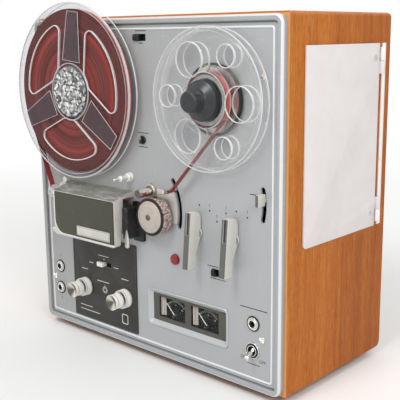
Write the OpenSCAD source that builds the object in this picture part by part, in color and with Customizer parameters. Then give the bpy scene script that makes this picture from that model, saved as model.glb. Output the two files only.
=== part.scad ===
// Upright reel-to-reel tape recorder with two reels, a head cover and a panel of controls.
// X points right, Y points back and Z points up. The origin lies on the floor, under the
// centre of the cabinet. Heights named ..._h are measured from the underside of the cabinet.

/* [Cabinet] */
// Width of the wooden cabinet
cab_w = 337; // [332:1:400]
// Height of the cabinet without its feet
cab_h = 337; // [333:1:400]
// Depth of the cabinet's boards
cab_d = 162; // [152:1:220]
// Thickness of the boards
board_t = 12; // [9:0.5:13]
// Radius of the cabinet's long edges
cab_r = 4; // [2:0.5:7]
// Radius of the cabinet's lower rear edge
heel_r = 9; // [8:1:22]
// Height of the rubber feet
foot_h = 6; // [3:0.5:12]
// Radius of the rubber feet
foot_r = 9; // [6:0.5:14]
// Distance of the feet from the cabinet's outline
foot_inset = 28; // [20:1:45]
// Thickness of the back cover
cover_t = 3; // [2:0.5:6]
// Number of vent slots in each row of the back cover
vent_count = 9; // [5:1:11]

/* [Face] */
// Margin between the cabinet's outline and the rim
rim_inset = 2; // [1:0.5:3]
// Width of the rim's band
rim_band = 5.3; // [4:0.1:6.5]
// How far the rim stands in front of the boards
rim_proud = 6.8; // [6:0.1:8]
// Radius of the rim's corners
rim_r = 8; // [6:0.5:12]
// Width of the groove between the rim and the panel
groove_w = 1.7; // [1:0.1:2.5]
// How far the panel lies behind the front of the rim
panel_recess = 2.8; // [2:0.1:3.5]
// Thickness of the deck panel
panel_t = 2; // [1.5:0.1:2.5]
// Space between the panel and the chassis plate
chassis_gap = 12; // [11:0.5:16]
// Thickness of the chassis plate
chassis_t = 2; // [1.5:0.1:3]

/* [Reels] */
// Distance between the two reel spindles
reel_span = 184.6; // [180:0.2:190]
// Height of the reel spindles
spindle_h = 262.7; // [256:0.1:268]
// Radius of the spindles
spindle_r = 4; // [3.5:0.1:4.5]
// Radius of the reel tables
table_r = 32; // [24:0.5:36]
// Radius of the supply reel
supply_r = 88.9; // [84:0.1:92]
// Radius of the supply reel's hub
supply_hub_r = 27; // [24:0.5:29]
// Radius of the tape wound on the supply reel
pack_r = 80; // [50:0.5:82]
// Radius of the take-up reel
takeup_r = 63.5; // [60:0.1:68]
// Radius of the take-up reel's hub
takeup_hub_r = 22.2; // [20.6:0.1:23]
// Space between the panel and the rear faces of the reels
reel_off = 4.1; // [3.6:0.1:5]
// Overall width of a reel
reel_w = 11.2; // [10.6:0.1:13]
// Thickness of the reel flanges
flange_t = 1.7; // [1.2:0.1:2]
// Width of the tape
tape_w = 6.35; // [6:0.05:6.5]
// Thickness of the tape as it is drawn
tape_t = 0.25; // [0.2:0.01:0.3]
// Turns of tape on the take-up reel
takeup_turns = 3; // [2:1:4]
// Radius of the take-up reel's cap
cap_r = 18; // [15:0.5:20]
// Length of the cap
cap_len = 21.4; // [18:0.1:24]

/* [Tape path] */
// Radius of the capstan
capstan_r = 4; // [3.5:0.1:4.2]
// Radius of the flywheel
flywheel_r = 38; // [34:1:42]
// Radius of the pinch roller
roller_r = 18.6; // [17:0.1:18.8]
// Width of the pinch roller
roller_w = 12; // [9:0.5:13]
// Radius of the arc on which the tension pin moves
tension_r = 58.5; // [57.5:0.1:59.5]
// Radius of the tension pin
pin_r = 2.2; // [1.8:0.1:2.3]
// Width of the slots in which pins and tabs move
slot_w = 4.8; // [4.7:0.1:5.4]
// Radius of the left guide roller
guide_r = 6.5; // [5.5:0.1:6.6]
// Radius of the fixed guides beside the heads
post_r = 3.2; // [2.6:0.1:3.4]

/* [Head cover] */
// Width of the head cover
head_w = 96.2; // [94:0.1:98]
// Height of the head cover's front
head_h = 47; // [44:0.5:47]
// How much the top of the cover rises towards the panel
head_rise = 7; // [6:0.5:9]
// Depth of the head cover
head_d = 26.5; // [25:0.5:30]
// Thickness of the cover's sheet
head_t = 1.5; // [1:0.1:1.8]

/* [Controls] */
// Width of the two lever handles
lever_w = 6.6; // [5:0.1:8]
// Length of a lever above its pivot
lever_up = 20.5; // [16:0.5:23]
// Length of a lever below its pivot
lever_down = 32; // [24:0.5:34]
// Radius of the shafts of levers and arms
shaft_r = 4; // [3:0.1:4.5]
// Radius of the rear level knobs
knob_r = 10; // [8:0.5:12]
// Radius of the front level knobs
knob_front_r = 8; // [6:0.5:9]
// Width of a meter window
window_w = 35.7; // [32:0.1:37]
// Height of a meter window
window_h = 21; // [18:0.1:22]
// Width of the meter bezel
bezel_w = 104.3; // [103:0.1:107]
// Height of the meter bezel
bezel_h = 36.9; // [34:0.1:40]
// Radius of the record button
button_r = 5; // [4:0.1:5.5]
// Travel of the record button
button_travel = 2; // [1:0.1:2.2]

/* [Side door] */
// Height of the side door
door_h = 175; // [165:1:185]
// Depth of the side door from its free edge to its hinge
door_d = 121.3; // [112:0.1:124]
// Thickness of the side door
door_t = 1.5; // [1:0.1:2]
// Radius of the hinge pin
hinge_r = 1.2; // [1:0.1:1.4]

/* [Hidden] */
// Clearances
gap = 0.3;
fit = 0.05;
snug = 0.1;

// Planes of the front, from the boards to the chassis plate
face_y = -cab_d / 2;
rim_y = face_y - rim_proud;
deck_y = rim_y + panel_recess;
panel_back = deck_y + panel_t;
chassis_y = panel_back + chassis_gap;
chassis_back = chassis_y + chassis_t;

// Inside of the cabinet and outlines of the face
in_x = cab_w / 2 - board_t;
rim_x = cab_w / 2 - rim_inset;
rim_in = rim_x - rim_band;
panel_x = rim_in - groove_w;
panel_low = cab_w / 2 - panel_x;
panel_top = cab_h - panel_low;
ledge_w = 5.8;
ledge_x = panel_x - ledge_w;

// Reels and tape
reel_x = reel_span / 2;
reel_back = deck_y - reel_off;
reel_front = reel_back - reel_w;
tape_y = (reel_back + reel_front) / 2;
tape_front = tape_y - tape_w / 2;
tape_back = tape_y + tape_w / 2;
core_r = pack_r - 1.5;
takeup_pitch = 0.7;
takeup_pack_r = takeup_hub_r + 0.3 + tape_t / 2 + takeup_turns * takeup_pitch;
bush_t = 3;
table_t = 2.6;
spindle_back = chassis_back + 22;
cap_front = reel_front - gap - cap_len;

// Places along the tape path, as x and height
capstan_at = [7, 169.5];
roller_at = [20.8, 148.3];
pinch_pivot = [22.2, 118];
pinch_swing = 14;
tension_pivot = [-11.9, 152.1];
tension_rest = 24;
tension_low = 34;
tension_high = 6.5;
tension_elbow_r = 40;
tension_elbow_a = 5;
guide_at = [-127.4, 154.6];
entry_at = [-103, 151];
exit_r = 2.2;
stud_r = 2;
post_at = [-22.6, 180.1];
stop_post_at = [-121, 167];
roller_front = tape_y - roller_w / 2 - 0.3;
roller_back = roller_front + roller_w;
pinch_y = panel_back + 1.5;
pinch_t = 2;
tension_y = pinch_y + pinch_t + 2;
tension_t = 2;
pin_front = deck_y - 18;
capstan_front = deck_y - 18;
washer_r = 8;
washer_t = 1.2;
capstan_bush_r = 6;

// Head cover, heads and nameplate
head_x = -114.5;
head_low = 112.5;
head_top = head_low + head_h;
cover_front = deck_y - head_d;
face_margin = 3;
plate_t = 0.8;
head_xs = [-88, -65, -42];
head_body_w = 12;
head_body_h = 16;
block_t = 2.5;
tape_over_heads = entry_at[1] + post_r;

// Levers, buttons and switches, as x and height
left_lever_at = [70.2, 138.8];
right_lever_at = [114.8, 139.3];
lever_gap = 0.8;
lever_end = chassis_back + 3;
button_at = [39.2, 106.6];
shutoff_at = [90.5, 103.1];
mode_at = [-65.1, 81];
mode_travel = 10.6;
mode_knob_w = 9;
speed_at = [-3.6, 316.4];
speed_travel = 8;
selector_at = [-2.2, 219.1];
stop_pivot = [panel_x - 72.5, 174.7];
stop_r = 60;
stop_rest = 4.8;
stop_low = 14;
stop_high = 5;
stop_tab_w = 3.2;
stop_tab_l = 10.5;
level_xs = [-96.1, -32.7];
level_h = 51.6;
knob_mid = deck_y - 10;
knob_front = deck_y - 22;
knob_end = panel_back + 8;
mic_at = [[17.2 - panel_x, 64.8], [16.7 - panel_x, 39.8]];
phones_at = [panel_x - 24.2, 64.7];
jack_r = 6;
toggle_at = [panel_x - 24.4, 39.4];
toggle_tilt = 25;
toggle_ball_r = 3;
toggle_pin_r = 0.8;
toggle_pin_l = 4;
toggle_lever_l = 12.5;
screw_at = [[7.5 - panel_x, 51.6], [9.2 - panel_x, 106.1], [9.2 - panel_x, 284],
    [panel_x - 13.8, 51.8], [panel_x - 13.6, 284]];
screw_r = 3;

// Control plate and meters
ctl_left = -117.5;
ctl_right = -15.9;
ctl_low = 15;
ctl_top = 110;
ctl_t = 1;
bezel_at = [52.9, 51.7];
window_at = [30.6, 73.9];
window_mid = 52.5;
bezel_depth = 2.5;
bezel_slope = 3.7;
needle_low = window_mid - window_h / 2 + 2.5;
needle_len = window_h - 5;
needle_rest = -45;
dial_y = panel_back + 6;
meter_back = panel_back + 27;

// Motor, belt and internal parts
chassis_low = 106;
fly_y = chassis_back + 9;
fly_t = 12;
belt_w = 4;
belt_t = 1.2;
motor_at = [72, 97];
motor_r = 31;
pulley_r = 7;
motor_y = fly_y + fly_t + 3;
motor_len = 60;
bridge_y = fly_y + fly_t + 3;
bridge_t = 2;
bridge_reach = flywheel_r + 7;
belt_angle = atan2(motor_at[1] - capstan_at[1], motor_at[0] - capstan_at[0]);
motor_shaft_r = 2.5;
floor_h = board_t;

// Side door, its hinge and the bay behind it
door_x = cab_w / 2 + gap;
door_low = 134;
hinge_y = 62;
knuckle_r = 2.6;
knuckle_l = 12;
bay_mid_y = hinge_y - 62;
bay_w = 96;
bay_h = 146;
bay_low = door_low + (door_h - bay_h) / 2;
bay_depth = 26;
sheet_t = 1.5;

// A height above the underside of the cabinet, as Z
function up(h) = foot_h + h;

// Points on an arc, with its ends or without them
function arc(c, r, a0, a1, n) =
    [for (i = [0:n]) c + r * [cos(a0 + (a1 - a0) * i / n), sin(a0 + (a1 - a0) * i / n)]];
function arc_inside(c, r, a0, a1, n) =
    [for (i = [1:n - 1]) c + r * [cos(a0 + (a1 - a0) * i / n), sin(a0 + (a1 - a0) * i / n)]];

// Place at a radius and an angle from a centre
function polar(c, r, a) = c + r * [cos(a), sin(a)];

// Outline of a curved slot with round ends
function slot_points(c, r, a0, a1, w) = concat(
    arc(c, r + w / 2, a0, a1, 10),
    arc_inside(polar(c, r, a1), w / 2, a1, a1 + 180, 6),
    arc(c, r - w / 2, a1, a0, 10),
    arc_inside(polar(c, r, a0), w / 2, a0 + 180, a0 + 360, 6));

// Round bar along Y, from y0 to the larger y1
module rod(at, r, y0, y1) {
    translate([at[0], y0, up(at[1])])
        rotate([-90, 0, 0])
            cylinder(r = r, h = y1 - y0, $fn = 48);
}

// Flat piece whose outline is given as x and height, from y0 to the larger y1
module layer(y0, y1) {
    translate([0, y1, foot_h])
        rotate([90, 0, 0])
            linear_extrude(y1 - y0)
                children();
}

// Outline given as y and height, drawn from x0 to the larger x1
module across(x0, x1) {
    translate([x0, 0, foot_h])
        rotate([90, 0, 90])
            linear_extrude(x1 - x0)
                children();
}

// Turned piece on a Y axis, whose outline is given as radius and distance from y towards the front
module turned(at, y) {
    translate([at[0], y, up(at[1])])
        rotate([90, 0, 0])
            rotate_extrude($fn = 64)
                children();
}

// Rectangle between two corners, with round corners
module round_rect(x0, z0, x1, z1, r) {
    translate([x0 + r, z0])
        square([x1 - x0 - 2 * r, z1 - z0]);
    translate([x0, z0 + r])
        square([x1 - x0, z1 - z0 - 2 * r]);
    for (x = [x0 + r, x1 - r], z = [z0 + r, z1 - r])
        translate([x, z])
            circle(r = r, $fn = 48);
}

// Rectangle around a centre
module rect_at(at, w, h) {
    translate([at[0] - w / 2, at[1] - h / 2])
        square([w, h]);
}

// Block between two corners, with z as a height
module block(x0, y0, h0, x1, y1, h1) {
    translate([x0, y0, up(h0)])
        cube([x1 - x0, y1 - y0, h1 - h0]);
}

module round_hole(at, r) {
    translate(at)
        circle(r = r, $fn = 48);
}

// Cabinet

module side_outline() {
    difference() {
        round_rect(face_y, 0, cab_d / 2, cab_h, cab_r);
        difference() {
            translate([cab_d / 2 - heel_r, -1])
                square([heel_r + 1, heel_r + 1]);
            translate([cab_d / 2 - heel_r, heel_r])
                circle(r = heel_r, $fn = 48);
        }
    }
}

module cabinet() {
    color("peru")
        difference() {
            intersection() {
                layer(face_y, cab_d / 2)
                    round_rect(-cab_w / 2, 0, cab_w / 2, cab_h, cab_r);
                across(-cab_w / 2, cab_w / 2)
                    side_outline();
            }
            layer(face_y - 1, cab_d / 2 + 1)
                round_rect(-in_x, board_t, in_x, cab_h - board_t, 1);
            block(in_x - 1, bay_mid_y - bay_w / 2, bay_low,
                cab_w / 2 + 1, bay_mid_y + bay_w / 2, bay_low + bay_h);
        }
}

module feet() {
    color("dimgray")
        for (x = [-1, 1], y = [-1, 1])
            translate([x * (cab_w / 2 - foot_inset), y * (cab_d / 2 - foot_inset), 0])
                cylinder(r = foot_r, h = foot_h, $fn = 48);
}

module back_cover() {
    slot_l = 70;
    slot_pitch = 24;
    first_x = -(vent_count - 1) / 2 * slot_pitch;
    cover_y = cab_d / 2 - 2 - cover_t;
    color("saddlebrown")
        layer(cover_y, cover_y + cover_t)
            difference() {
                round_rect(-in_x + gap, board_t + gap, in_x - gap, cab_h - board_t - gap, 1.5);
                for (i = [0:vent_count - 1], h = [60, 200])
                    translate([first_x + i * slot_pitch, h])
                        square([4, slot_l]);
            }
}

module face_rim() {
    low = rim_inset;
    top = cab_h - rim_inset;
    color("silver") {
        layer(rim_y, face_y)
            difference() {
                round_rect(-rim_x, low, rim_x, top, rim_r);
                round_rect(-rim_in, low + rim_band, rim_in, top - rim_band, rim_r - rim_band + 0.5);
            }
        layer(panel_back, face_y)
            difference() {
                round_rect(-rim_in - 1, low + rim_band - 1, rim_in + 1, top - rim_band + 1, 2);
                round_rect(-ledge_x, panel_low + ledge_w, ledge_x, panel_top - ledge_w, 2);
            }
    }
}

// Every opening of the deck panel
module panel_openings() {
    for (side = [-1, 1])
        round_hole([side * reel_x, spindle_h], spindle_r + bush_t + 1);
    round_hole(capstan_at, capstan_bush_r + fit);
    polygon(slot_points(pinch_pivot, norm(roller_at - pinch_pivot), 92 - 3, 92 + pinch_swing + 4,
        slot_w));
    polygon(slot_points(tension_pivot, tension_r, tension_rest - tension_low - 2,
        tension_rest + tension_high + 2, slot_w + 0.2));
    for (at = [left_lever_at, right_lever_at])
        round_hole(at, shaft_r + fit);
    round_hole(button_at, button_r + gap);
    polygon(slot_points(stop_pivot, stop_r, stop_rest - stop_low - 4, stop_rest + stop_high + 3,
        slot_w));
    rect_at(speed_at, speed_travel + 8.6, 6.6);
    rect_at(shutoff_at, 8.4, 7.4);
    rect_at(mode_at, mode_knob_w + mode_travel + 2 * gap, 6);
    round_hole(selector_at, 3 + fit);
    for (x = level_xs)
        round_hole([x, level_h], 5 + fit);
    for (at = concat(mic_at, [phones_at]))
        round_hole(at, jack_r - 1.5);
    round_hole(toggle_at, 4.5);
    rect_at(bezel_at, bezel_w, bezel_h);
}

module deck_panel() {
    color("gainsboro")
        difference() {
            layer(deck_y, panel_back)
                difference() {
                    round_rect(-panel_x, panel_low, panel_x, panel_top, 3);
                    panel_openings();
                }
            for (at = screw_at)
                rod(at, 1.5, deck_y - 1, panel_back + 1);
        }
}

module panel_screws() {
    color("lightgray")
        for (at = screw_at)
            difference() {
                union() {
                    rod(at, screw_r, deck_y - 1.6, deck_y);
                    rod(at, 1.4, deck_y, panel_back + 2);
                }
                translate([at[0], deck_y - 1.4, up(at[1])])
                    rotate([0, 35, 0])
                        cube([2 * screw_r + 1, 0.9, 0.8], center = true);
            }
}

module control_plate() {
    color("dimgray")
        layer(deck_y - ctl_t, deck_y)
            difference() {
                round_rect(ctl_left, ctl_low, ctl_right, ctl_top, 1.5);
                for (x = level_xs)
                    round_hole([x, level_h], 5 + fit);
                rect_at(mode_at, mode_knob_w + mode_travel + 2 * gap, 6);
            }
}

module chassis() {
    edge = 10;
    color("lightslategray")
        difference() {
            union() {
                layer(chassis_y, chassis_back) {
                    round_rect(-panel_x + edge, chassis_low, panel_x - edge, panel_top - edge, 3);
                    round_rect(motor_at[0] - 42, motor_at[1] - 30, motor_at[0] + 40, chassis_low + 5, 3);
                }
                for (side = [-1, 1], h = [chassis_low + 10, 212, panel_top - edge - 8])
                    rod([side * (panel_x - edge - 9), h], 4, panel_back, chassis_y + 1);
                // Posts of the motor, one of them between the two runs of the belt
                for (a = [60, 180, 300])
                    rod(polar(motor_at, motor_r - 5, belt_angle + a), 3, chassis_y + 1, motor_y);
                // Bridge that carries the rear end of the capstan, square to the belt
                layer(bridge_y, bridge_y + bridge_t)
                    translate(capstan_at)
                        rotate(belt_angle)
                            square([16, 2 * bridge_reach + 4], center = true);
                for (side = [-1, 1])
                    layer(chassis_y + 1, bridge_y + bridge_t)
                        translate(polar(capstan_at, side * bridge_reach, belt_angle + 90))
                            rotate(belt_angle)
                                square([16, 4], center = true);
            }
            for (side = [-1, 1])
                rod([side * reel_x, spindle_h], spindle_r + bush_t + fit, chassis_y - 1,
                    chassis_back + 1);
            rod(capstan_at, capstan_bush_r + fit, chassis_y - 1, chassis_back + 1);
            rod(capstan_at, capstan_r + fit, bridge_y - 1, bridge_y + bridge_t + 1);
            for (at = [left_lever_at, right_lever_at])
                rod(at, shaft_r + fit, chassis_y - 1, chassis_back + 1);
            rod(pinch_pivot, 3 + fit, chassis_y - 1, chassis_back + 1);
            rod(tension_pivot, 3 + fit, chassis_y - 1, chassis_back + 1);
            rod(stop_pivot, 3 + fit, chassis_y - 1, chassis_back + 1);
            rod(button_at, 2 + fit, chassis_y - 1, chassis_back + 1);
        }
}

// Head cover

module head_side(inset) {
    polygon([
        [cover_front + inset, head_low - 1],
        [cover_front + inset, head_top - inset],
        [deck_y + 1, head_top + head_rise * (head_d + 1) / head_d - inset],
        [deck_y + 1, head_low - 1]]);
}

module head_cover() {
    x1 = head_x + head_w;
    opening_front = tape_front - 1.4;
    color("darkgray")
        difference() {
            intersection() {
                across(head_x, x1)
                    head_side(0);
                layer(cover_front - 1, deck_y - gap / 3)
                    round_rect(head_x, head_low, x1, head_top + head_rise + 20, 3);
            }
            // Hollow, open towards the panel and below
            across(head_x + head_t, x1 - head_t)
                head_side(head_t);
            // The cheeks leave the tape free and come back to the panel above it
            across(head_x - 1, x1 + 1)
                polygon([
                    [opening_front - 5, head_low - 2],
                    [opening_front, head_top - 8],
                    [opening_front, head_top + 0.8],
                    [deck_y + 1, head_top + 0.8],
                    [deck_y + 1, head_low - 2]]);
        }
}

module head_cover_plate() {
    x0 = head_x + face_margin;
    x1 = head_x + head_w - face_margin;
    low = head_low + face_margin;
    top = head_top - face_margin;
    color("dimgray") {
        layer(cover_front - plate_t, cover_front)
            difference() {
                round_rect(x0, low, x1, top, 1);
                difference() {
                    translate([x0 - 1, low - 1])
                        square(13);
                    round_hole([x0 + 12, low + 12], 12);
                }
            }
        // Bare nameplate
        layer(cover_front - 2 * plate_t, cover_front - plate_t)
            round_rect(x1 - 54, low + 2, x1 - 3, low + 12, 0.6);
    }
}

module head_block() {
    color("gray")
        layer(deck_y - block_t, deck_y)
            round_rect(head_x + 5, head_low + 8, head_x + head_w - 4, entry_at[1] + 5, 3);
}

module tape_heads() {
    top = tape_over_heads;
    color("slategray")
        for (x = head_xs)
            layer(tape_front - 1, deck_y - block_t)
                intersection() {
                    rect_at([x, top - head_body_h / 2], head_body_w, head_body_h);
                    round_hole([x, top - 14], 14);
                }
}

// One fixed guide with a flange at each edge of the tape
module fixed_guide(at, r) {
    rod(at, r, tape_front - 1.5, deck_y - block_t);
    rod(at, r + 0.9, tape_front - 1.5, tape_front - 0.5);
    rod(at, r + 0.9, tape_back + 0.5, tape_back + 1.5);
}

// Stepped post beside the head cover
step_post_r = 4.5;
step_post_l = 22;
guide_base_t = 3;

module guide_posts() {
    color("silver") {
        fixed_guide(entry_at, post_r);
        fixed_guide(exit_at, exit_r);
        rod(post_at, step_post_r, deck_y - 4, deck_y);
        rod(post_at, step_post_r - 1.9, deck_y - 14, deck_y - 4);
        rod(post_at, step_post_r - 3.3, deck_y - step_post_l, deck_y - 14);
        rod(stop_post_at, post_r + 0.3, deck_y - 6, deck_y);
        // Base and stud of the left guide roller
        rod(guide_at, guide_r + 2.5, deck_y - guide_base_t, deck_y);
        rod(guide_at, stud_r, tape_front - 6, deck_y - guide_base_t);
    }
}

// Tape. A side of 1 keeps the centre of a wheel on the left of the moving tape.
tape_off = gap + tape_t / 2;
pin_at = polar(tension_pivot, tension_r, tension_rest);

// The exit guide lies where the level tape over the heads meets the line that grazes the
// capstan and the tension pin
exit_a =
    let (d = pin_at - capstan_at)
    atan2(d[1], d[0]) - asin((pin_r - capstan_r) / norm(d));
exit_h = tape_over_heads + exit_r + 2 * tape_off;
exit_back = (capstan_at[1] + cos(exit_a) * (exit_r - capstan_r) - exit_h) / sin(exit_a);
exit_at = [capstan_at[0] - sin(exit_a) * (exit_r - capstan_r) - cos(exit_a) * exit_back, exit_h];

path_at = [[-reel_x, spindle_h], guide_at, entry_at, exit_at, pin_at, [reel_x, spindle_h]];
path_r = [pack_r + tape_off, guide_r + tape_off, -post_r - tape_off, exit_r + tape_off,
    pin_r + tape_off, takeup_pack_r + tape_off];

function heading(i) =
    let (d = path_at[i + 1] - path_at[i])
    atan2(d[1], d[0]) - asin((path_r[i + 1] - path_r[i]) / norm(d));
function leaves(i) = polar(path_at[i], path_r[i], heading(i) - 90);
function arrives(i) = polar(path_at[i], path_r[i], heading(i - 1) - 90);
function bend(i, n) = arc(path_at[i], path_r[i], heading(i - 1) - 90, heading(i) - 90, n);
function along(i, d) = leaves(i) + d * [cos(heading(i)), sin(heading(i))];
function reach(i) = norm(arrives(i + 1) - leaves(i));

// Outline of a strip that follows a list of points
function strip_dir(p, i) =
    let (d = p[min(i + 1, len(p) - 1)] - p[max(i - 1, 0)])
    d / norm(d);
function strip_side(p, w) =
    [for (i = [0:len(p) - 1]) p[i] + w * [-strip_dir(p, i)[1], strip_dir(p, i)[0]]];
function reversed(p) = [for (i = [len(p) - 1:-1:0]) p[i]];
function strip(p) = concat(strip_side(p, tape_t / 2), reversed(strip_side(p, -tape_t / 2)));

loop_reach = 5;
run_in = concat([leaves(0)], bend(1, 8), bend(2, 3), bend(3, 3),
    [along(3, reach(3) - loop_reach - gap)]);
run_out = [along(4, loop_reach + gap), arrives(5)];
loop_points = concat([along(3, reach(3) - loop_reach)], bend(4, 8), [along(4, loop_reach)]);

module tape_run() {
    color("saddlebrown")
        layer(tape_front, tape_back) {
            polygon(strip(run_in));
            polygon(strip(run_out));
        }
}

module tape_loop() {
    color("saddlebrown")
        layer(tape_front, tape_back)
            polygon(strip(loop_points));
}

// Points of a spiral that ends at a given angle
function spiral(c, r0, r1, turns, n, end) =
    [for (i = [0:n * turns])
        polar(c, r0 + (r1 - r0) * i / (n * turns), end - 360 * turns * (1 - i / (n * turns)))];

supply_turn = spiral([-reel_x, spindle_h], pack_r - tape_t / 2, pack_r - 0.9, 1, 72, heading(0) - 90);
takeup_turn = spiral([reel_x, spindle_h], takeup_pack_r - tape_t / 2 - takeup_turns * takeup_pitch,
    takeup_pack_r - tape_t / 2, takeup_turns, 48, heading(4) - 90);

// Least gap of a winding to its own next turn, measured on its points
function turn_gap(p, c, n) =
    min([for (i = [0:len(p) - 1 - n]) abs(norm(p[i + n] - c) - norm(p[i] - c))]) - tape_t;
echo("least gap of the supply turn to itself",
    turn_gap(supply_turn, [-reel_x, spindle_h], 72));
echo("least gap of the take-up turns to themselves",
    turn_gap(takeup_turn, [reel_x, spindle_h], 48));

module supply_tape() {
    color("saddlebrown") {
        layer(tape_front, tape_back)
            difference() {
                round_hole([-reel_x, spindle_h], core_r);
                round_hole([-reel_x, spindle_h], supply_hub_r + 0.3);
            }
        layer(tape_front, tape_back)
            polygon(strip(supply_turn));
    }
}

module takeup_tape() {
    color("saddlebrown")
        layer(tape_front, tape_back)
            polygon(strip(takeup_turn));
}

// Reels

// Window between two arms of the supply reel, pointing along +X before it is turned
window_out = 70;
window_in = 28.8;
arm_half = 20.5;
window_r = 7;
function corner_a(r) = 60 - asin((arm_half + window_r) / r);
out_a = corner_a(window_out - window_r);
in_a = corner_a(window_in + window_r);
window_half = concat(
    arc([0, 0], window_out, 0, out_a, 8),
    arc_inside(polar([0, 0], window_out - window_r, out_a), window_r, out_a, 150, 5),
    arc(polar([0, 0], window_in + window_r, in_a), window_r, 150, in_a + 180, 5),
    arc_inside([0, 0], window_in, in_a, 0, 4));
window_points = concat(window_half, [[window_in, 0]],
    reversed([for (i = [1:len(window_half) - 1]) [window_half[i][0], -window_half[i][1]]]));

supply_arm_a = 83.8;
module supply_openings() {
    for (k = [0:2])
        translate([-reel_x, spindle_h])
            rotate(supply_arm_a + 60 + 120 * k)
                polygon(window_points);
}

takeup_hole_a = -2.4;
module takeup_openings() {
    for (k = [0:2]) {
        round_hole(polar([reel_x, spindle_h], 38.9, takeup_hole_a + 120 * k), 15.3);
        round_hole(polar([reel_x, spindle_h], 45.2, takeup_hole_a + 60 + 120 * k), 9.8);
    }
}

// Bore of a reel
module reel_bore(x) {
    round_hole([x, spindle_h], spindle_r + snug);
}

module supply_front_flange() {
    color("aliceblue")
        layer(reel_front, reel_front + flange_t)
            difference() {
                round_hole([-reel_x, spindle_h], supply_r);
                supply_openings();
                reel_bore(-reel_x);
            }
}

module supply_rear_flange() {
    color("aliceblue") {
        layer(reel_back - flange_t, reel_back)
            difference() {
                round_hole([-reel_x, spindle_h], supply_r);
                supply_openings();
                reel_bore(-reel_x);
            }
        layer(reel_front + flange_t, reel_back - flange_t)
            difference() {
                round_hole([-reel_x, spindle_h], supply_hub_r);
                round_hole([-reel_x, spindle_h], supply_hub_r - 3);
            }
        layer(reel_front + flange_t, reel_back - flange_t)
            difference() {
                round_hole([-reel_x, spindle_h], spindle_r + 3);
                reel_bore(-reel_x);
            }
    }
}

module takeup_front_flange() {
    color("aliceblue")
        layer(reel_front, reel_front + flange_t)
            difference() {
                round_hole([reel_x, spindle_h], takeup_r);
                takeup_openings();
                reel_bore(reel_x);
            }
}

module takeup_rear_flange() {
    color("aliceblue") {
        layer(reel_back - flange_t, reel_back)
            difference() {
                round_hole([reel_x, spindle_h], takeup_r);
                takeup_openings();
                reel_bore(reel_x);
            }
        layer(reel_front + flange_t, reel_back - flange_t)
            difference() {
                round_hole([reel_x, spindle_h], takeup_hub_r);
                round_hole([reel_x, spindle_h], takeup_hub_r - 3);
            }
        layer(reel_front + flange_t, reel_back - flange_t)
            difference() {
                round_hole([reel_x, spindle_h], spindle_r + 3);
                reel_bore(reel_x);
            }
    }
}

// Spindle with its reel table in front of the panel and a drive disc behind the chassis
module spindle(x, front) {
    at = [x, spindle_h];
    rod(at, spindle_r, front, spindle_back);
    rod(at, table_r, reel_back, reel_back + table_t);
    rod(at, 24, spindle_back - 7, spindle_back - 1);
}

module supply_spindle() {
    color("dimgray")
        spindle(-reel_x, reel_front - 4);
}

module takeup_spindle() {
    color("dimgray")
        spindle(reel_x, cap_front + 6);
}

module reel_cap() {
    color("black")
        difference() {
            turned([reel_x, spindle_h], reel_front - gap)
                polygon([[0, 0], [cap_r, 0], [cap_r, 5], [cap_r - 2.5, 6.5], [11, 9.5],
                    [9.9, 11.5], [9.7, cap_len - 1], [8.7, cap_len], [0, cap_len]]);
            rod([reel_x, spindle_h], spindle_r + snug, cap_front + 5.5, reel_front + 1);
        }
}

module bearing_bushes() {
    color("darkgoldenrod") {
        for (side = [-1, 1])
            difference() {
                union() {
                    rod([side * reel_x, spindle_h], spindle_r + bush_t, panel_back - 1,
                        spindle_back - 8);
                    rod([side * reel_x, spindle_h], spindle_r + bush_t + 4, chassis_back,
                        chassis_back + 2);
                }
                rod([side * reel_x, spindle_h], spindle_r + fit, panel_back - 2, spindle_back);
            }
        difference() {
            union() {
                rod(capstan_at, capstan_bush_r, deck_y - 2.5, fly_y - 1);
                rod(capstan_at, capstan_bush_r + 3, chassis_back, chassis_back + 2);
                rod(capstan_at, washer_r, deck_y - washer_t, deck_y);
            }
            rod(capstan_at, capstan_r + fit, deck_y - 4, fly_y);
        }
    }
}

// Drive

module capstan() {
    color("silver")
        union() {
            rod(capstan_at, capstan_r, capstan_front, bridge_y + bridge_t + 1);
            difference() {
                rod(capstan_at, flywheel_r, fly_y, fly_y + fly_t);
                rod(capstan_at, flywheel_r - 6, fly_y + 4, fly_y + fly_t + 1);
            }
            rod(capstan_at, 10, fly_y, fly_y + fly_t);
        }
}

module motor_pulley() {
    color("goldenrod")
        union() {
            rod(motor_at, pulley_r, fly_y + 2, motor_y - 1);
            rod(motor_at, motor_shaft_r, fly_y + 3, motor_y + 25);
        }
}

module drive_motor() {
    color("gray")
        difference() {
            union() {
                rod(motor_at, motor_r, motor_y, motor_y + motor_len);
                rod(motor_at, 6, motor_y + motor_len, motor_y + motor_len + 3);
            }
            rod(motor_at, motor_shaft_r + fit, motor_y - 1, motor_y + 25 + gap);
        }
}

// Outline of a belt that wraps two wheels at a given distance from them
module belt_outline(off) {
    tilt = acos((flywheel_r - pulley_r) / norm(motor_at - capstan_at));
    polygon(concat(
        arc(capstan_at, flywheel_r + off, belt_angle + tilt, belt_angle + 360 - tilt, 60),
        arc(motor_at, pulley_r + off, belt_angle - tilt, belt_angle + tilt, 20)));
}

module drive_belt() {
    mid = fly_y + fly_t / 2;
    color("black")
        layer(mid - belt_w / 2, mid + belt_w / 2)
            difference() {
                belt_outline(gap + belt_t);
                belt_outline(gap);
            }
}

module guide_roller() {
    color("silver")
        difference() {
            union() {
                rod(guide_at, guide_r, tape_front - 8, tape_back + 2);
                rod(guide_at, guide_r + 1, tape_back + 0.7, tape_back + 2);
                rod(guide_at, guide_r + 1, tape_front - 8, tape_front - 0.7);
            }
            rod(guide_at, stud_r + fit, tape_front - 6.4, tape_back + 3);
        }
}

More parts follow.
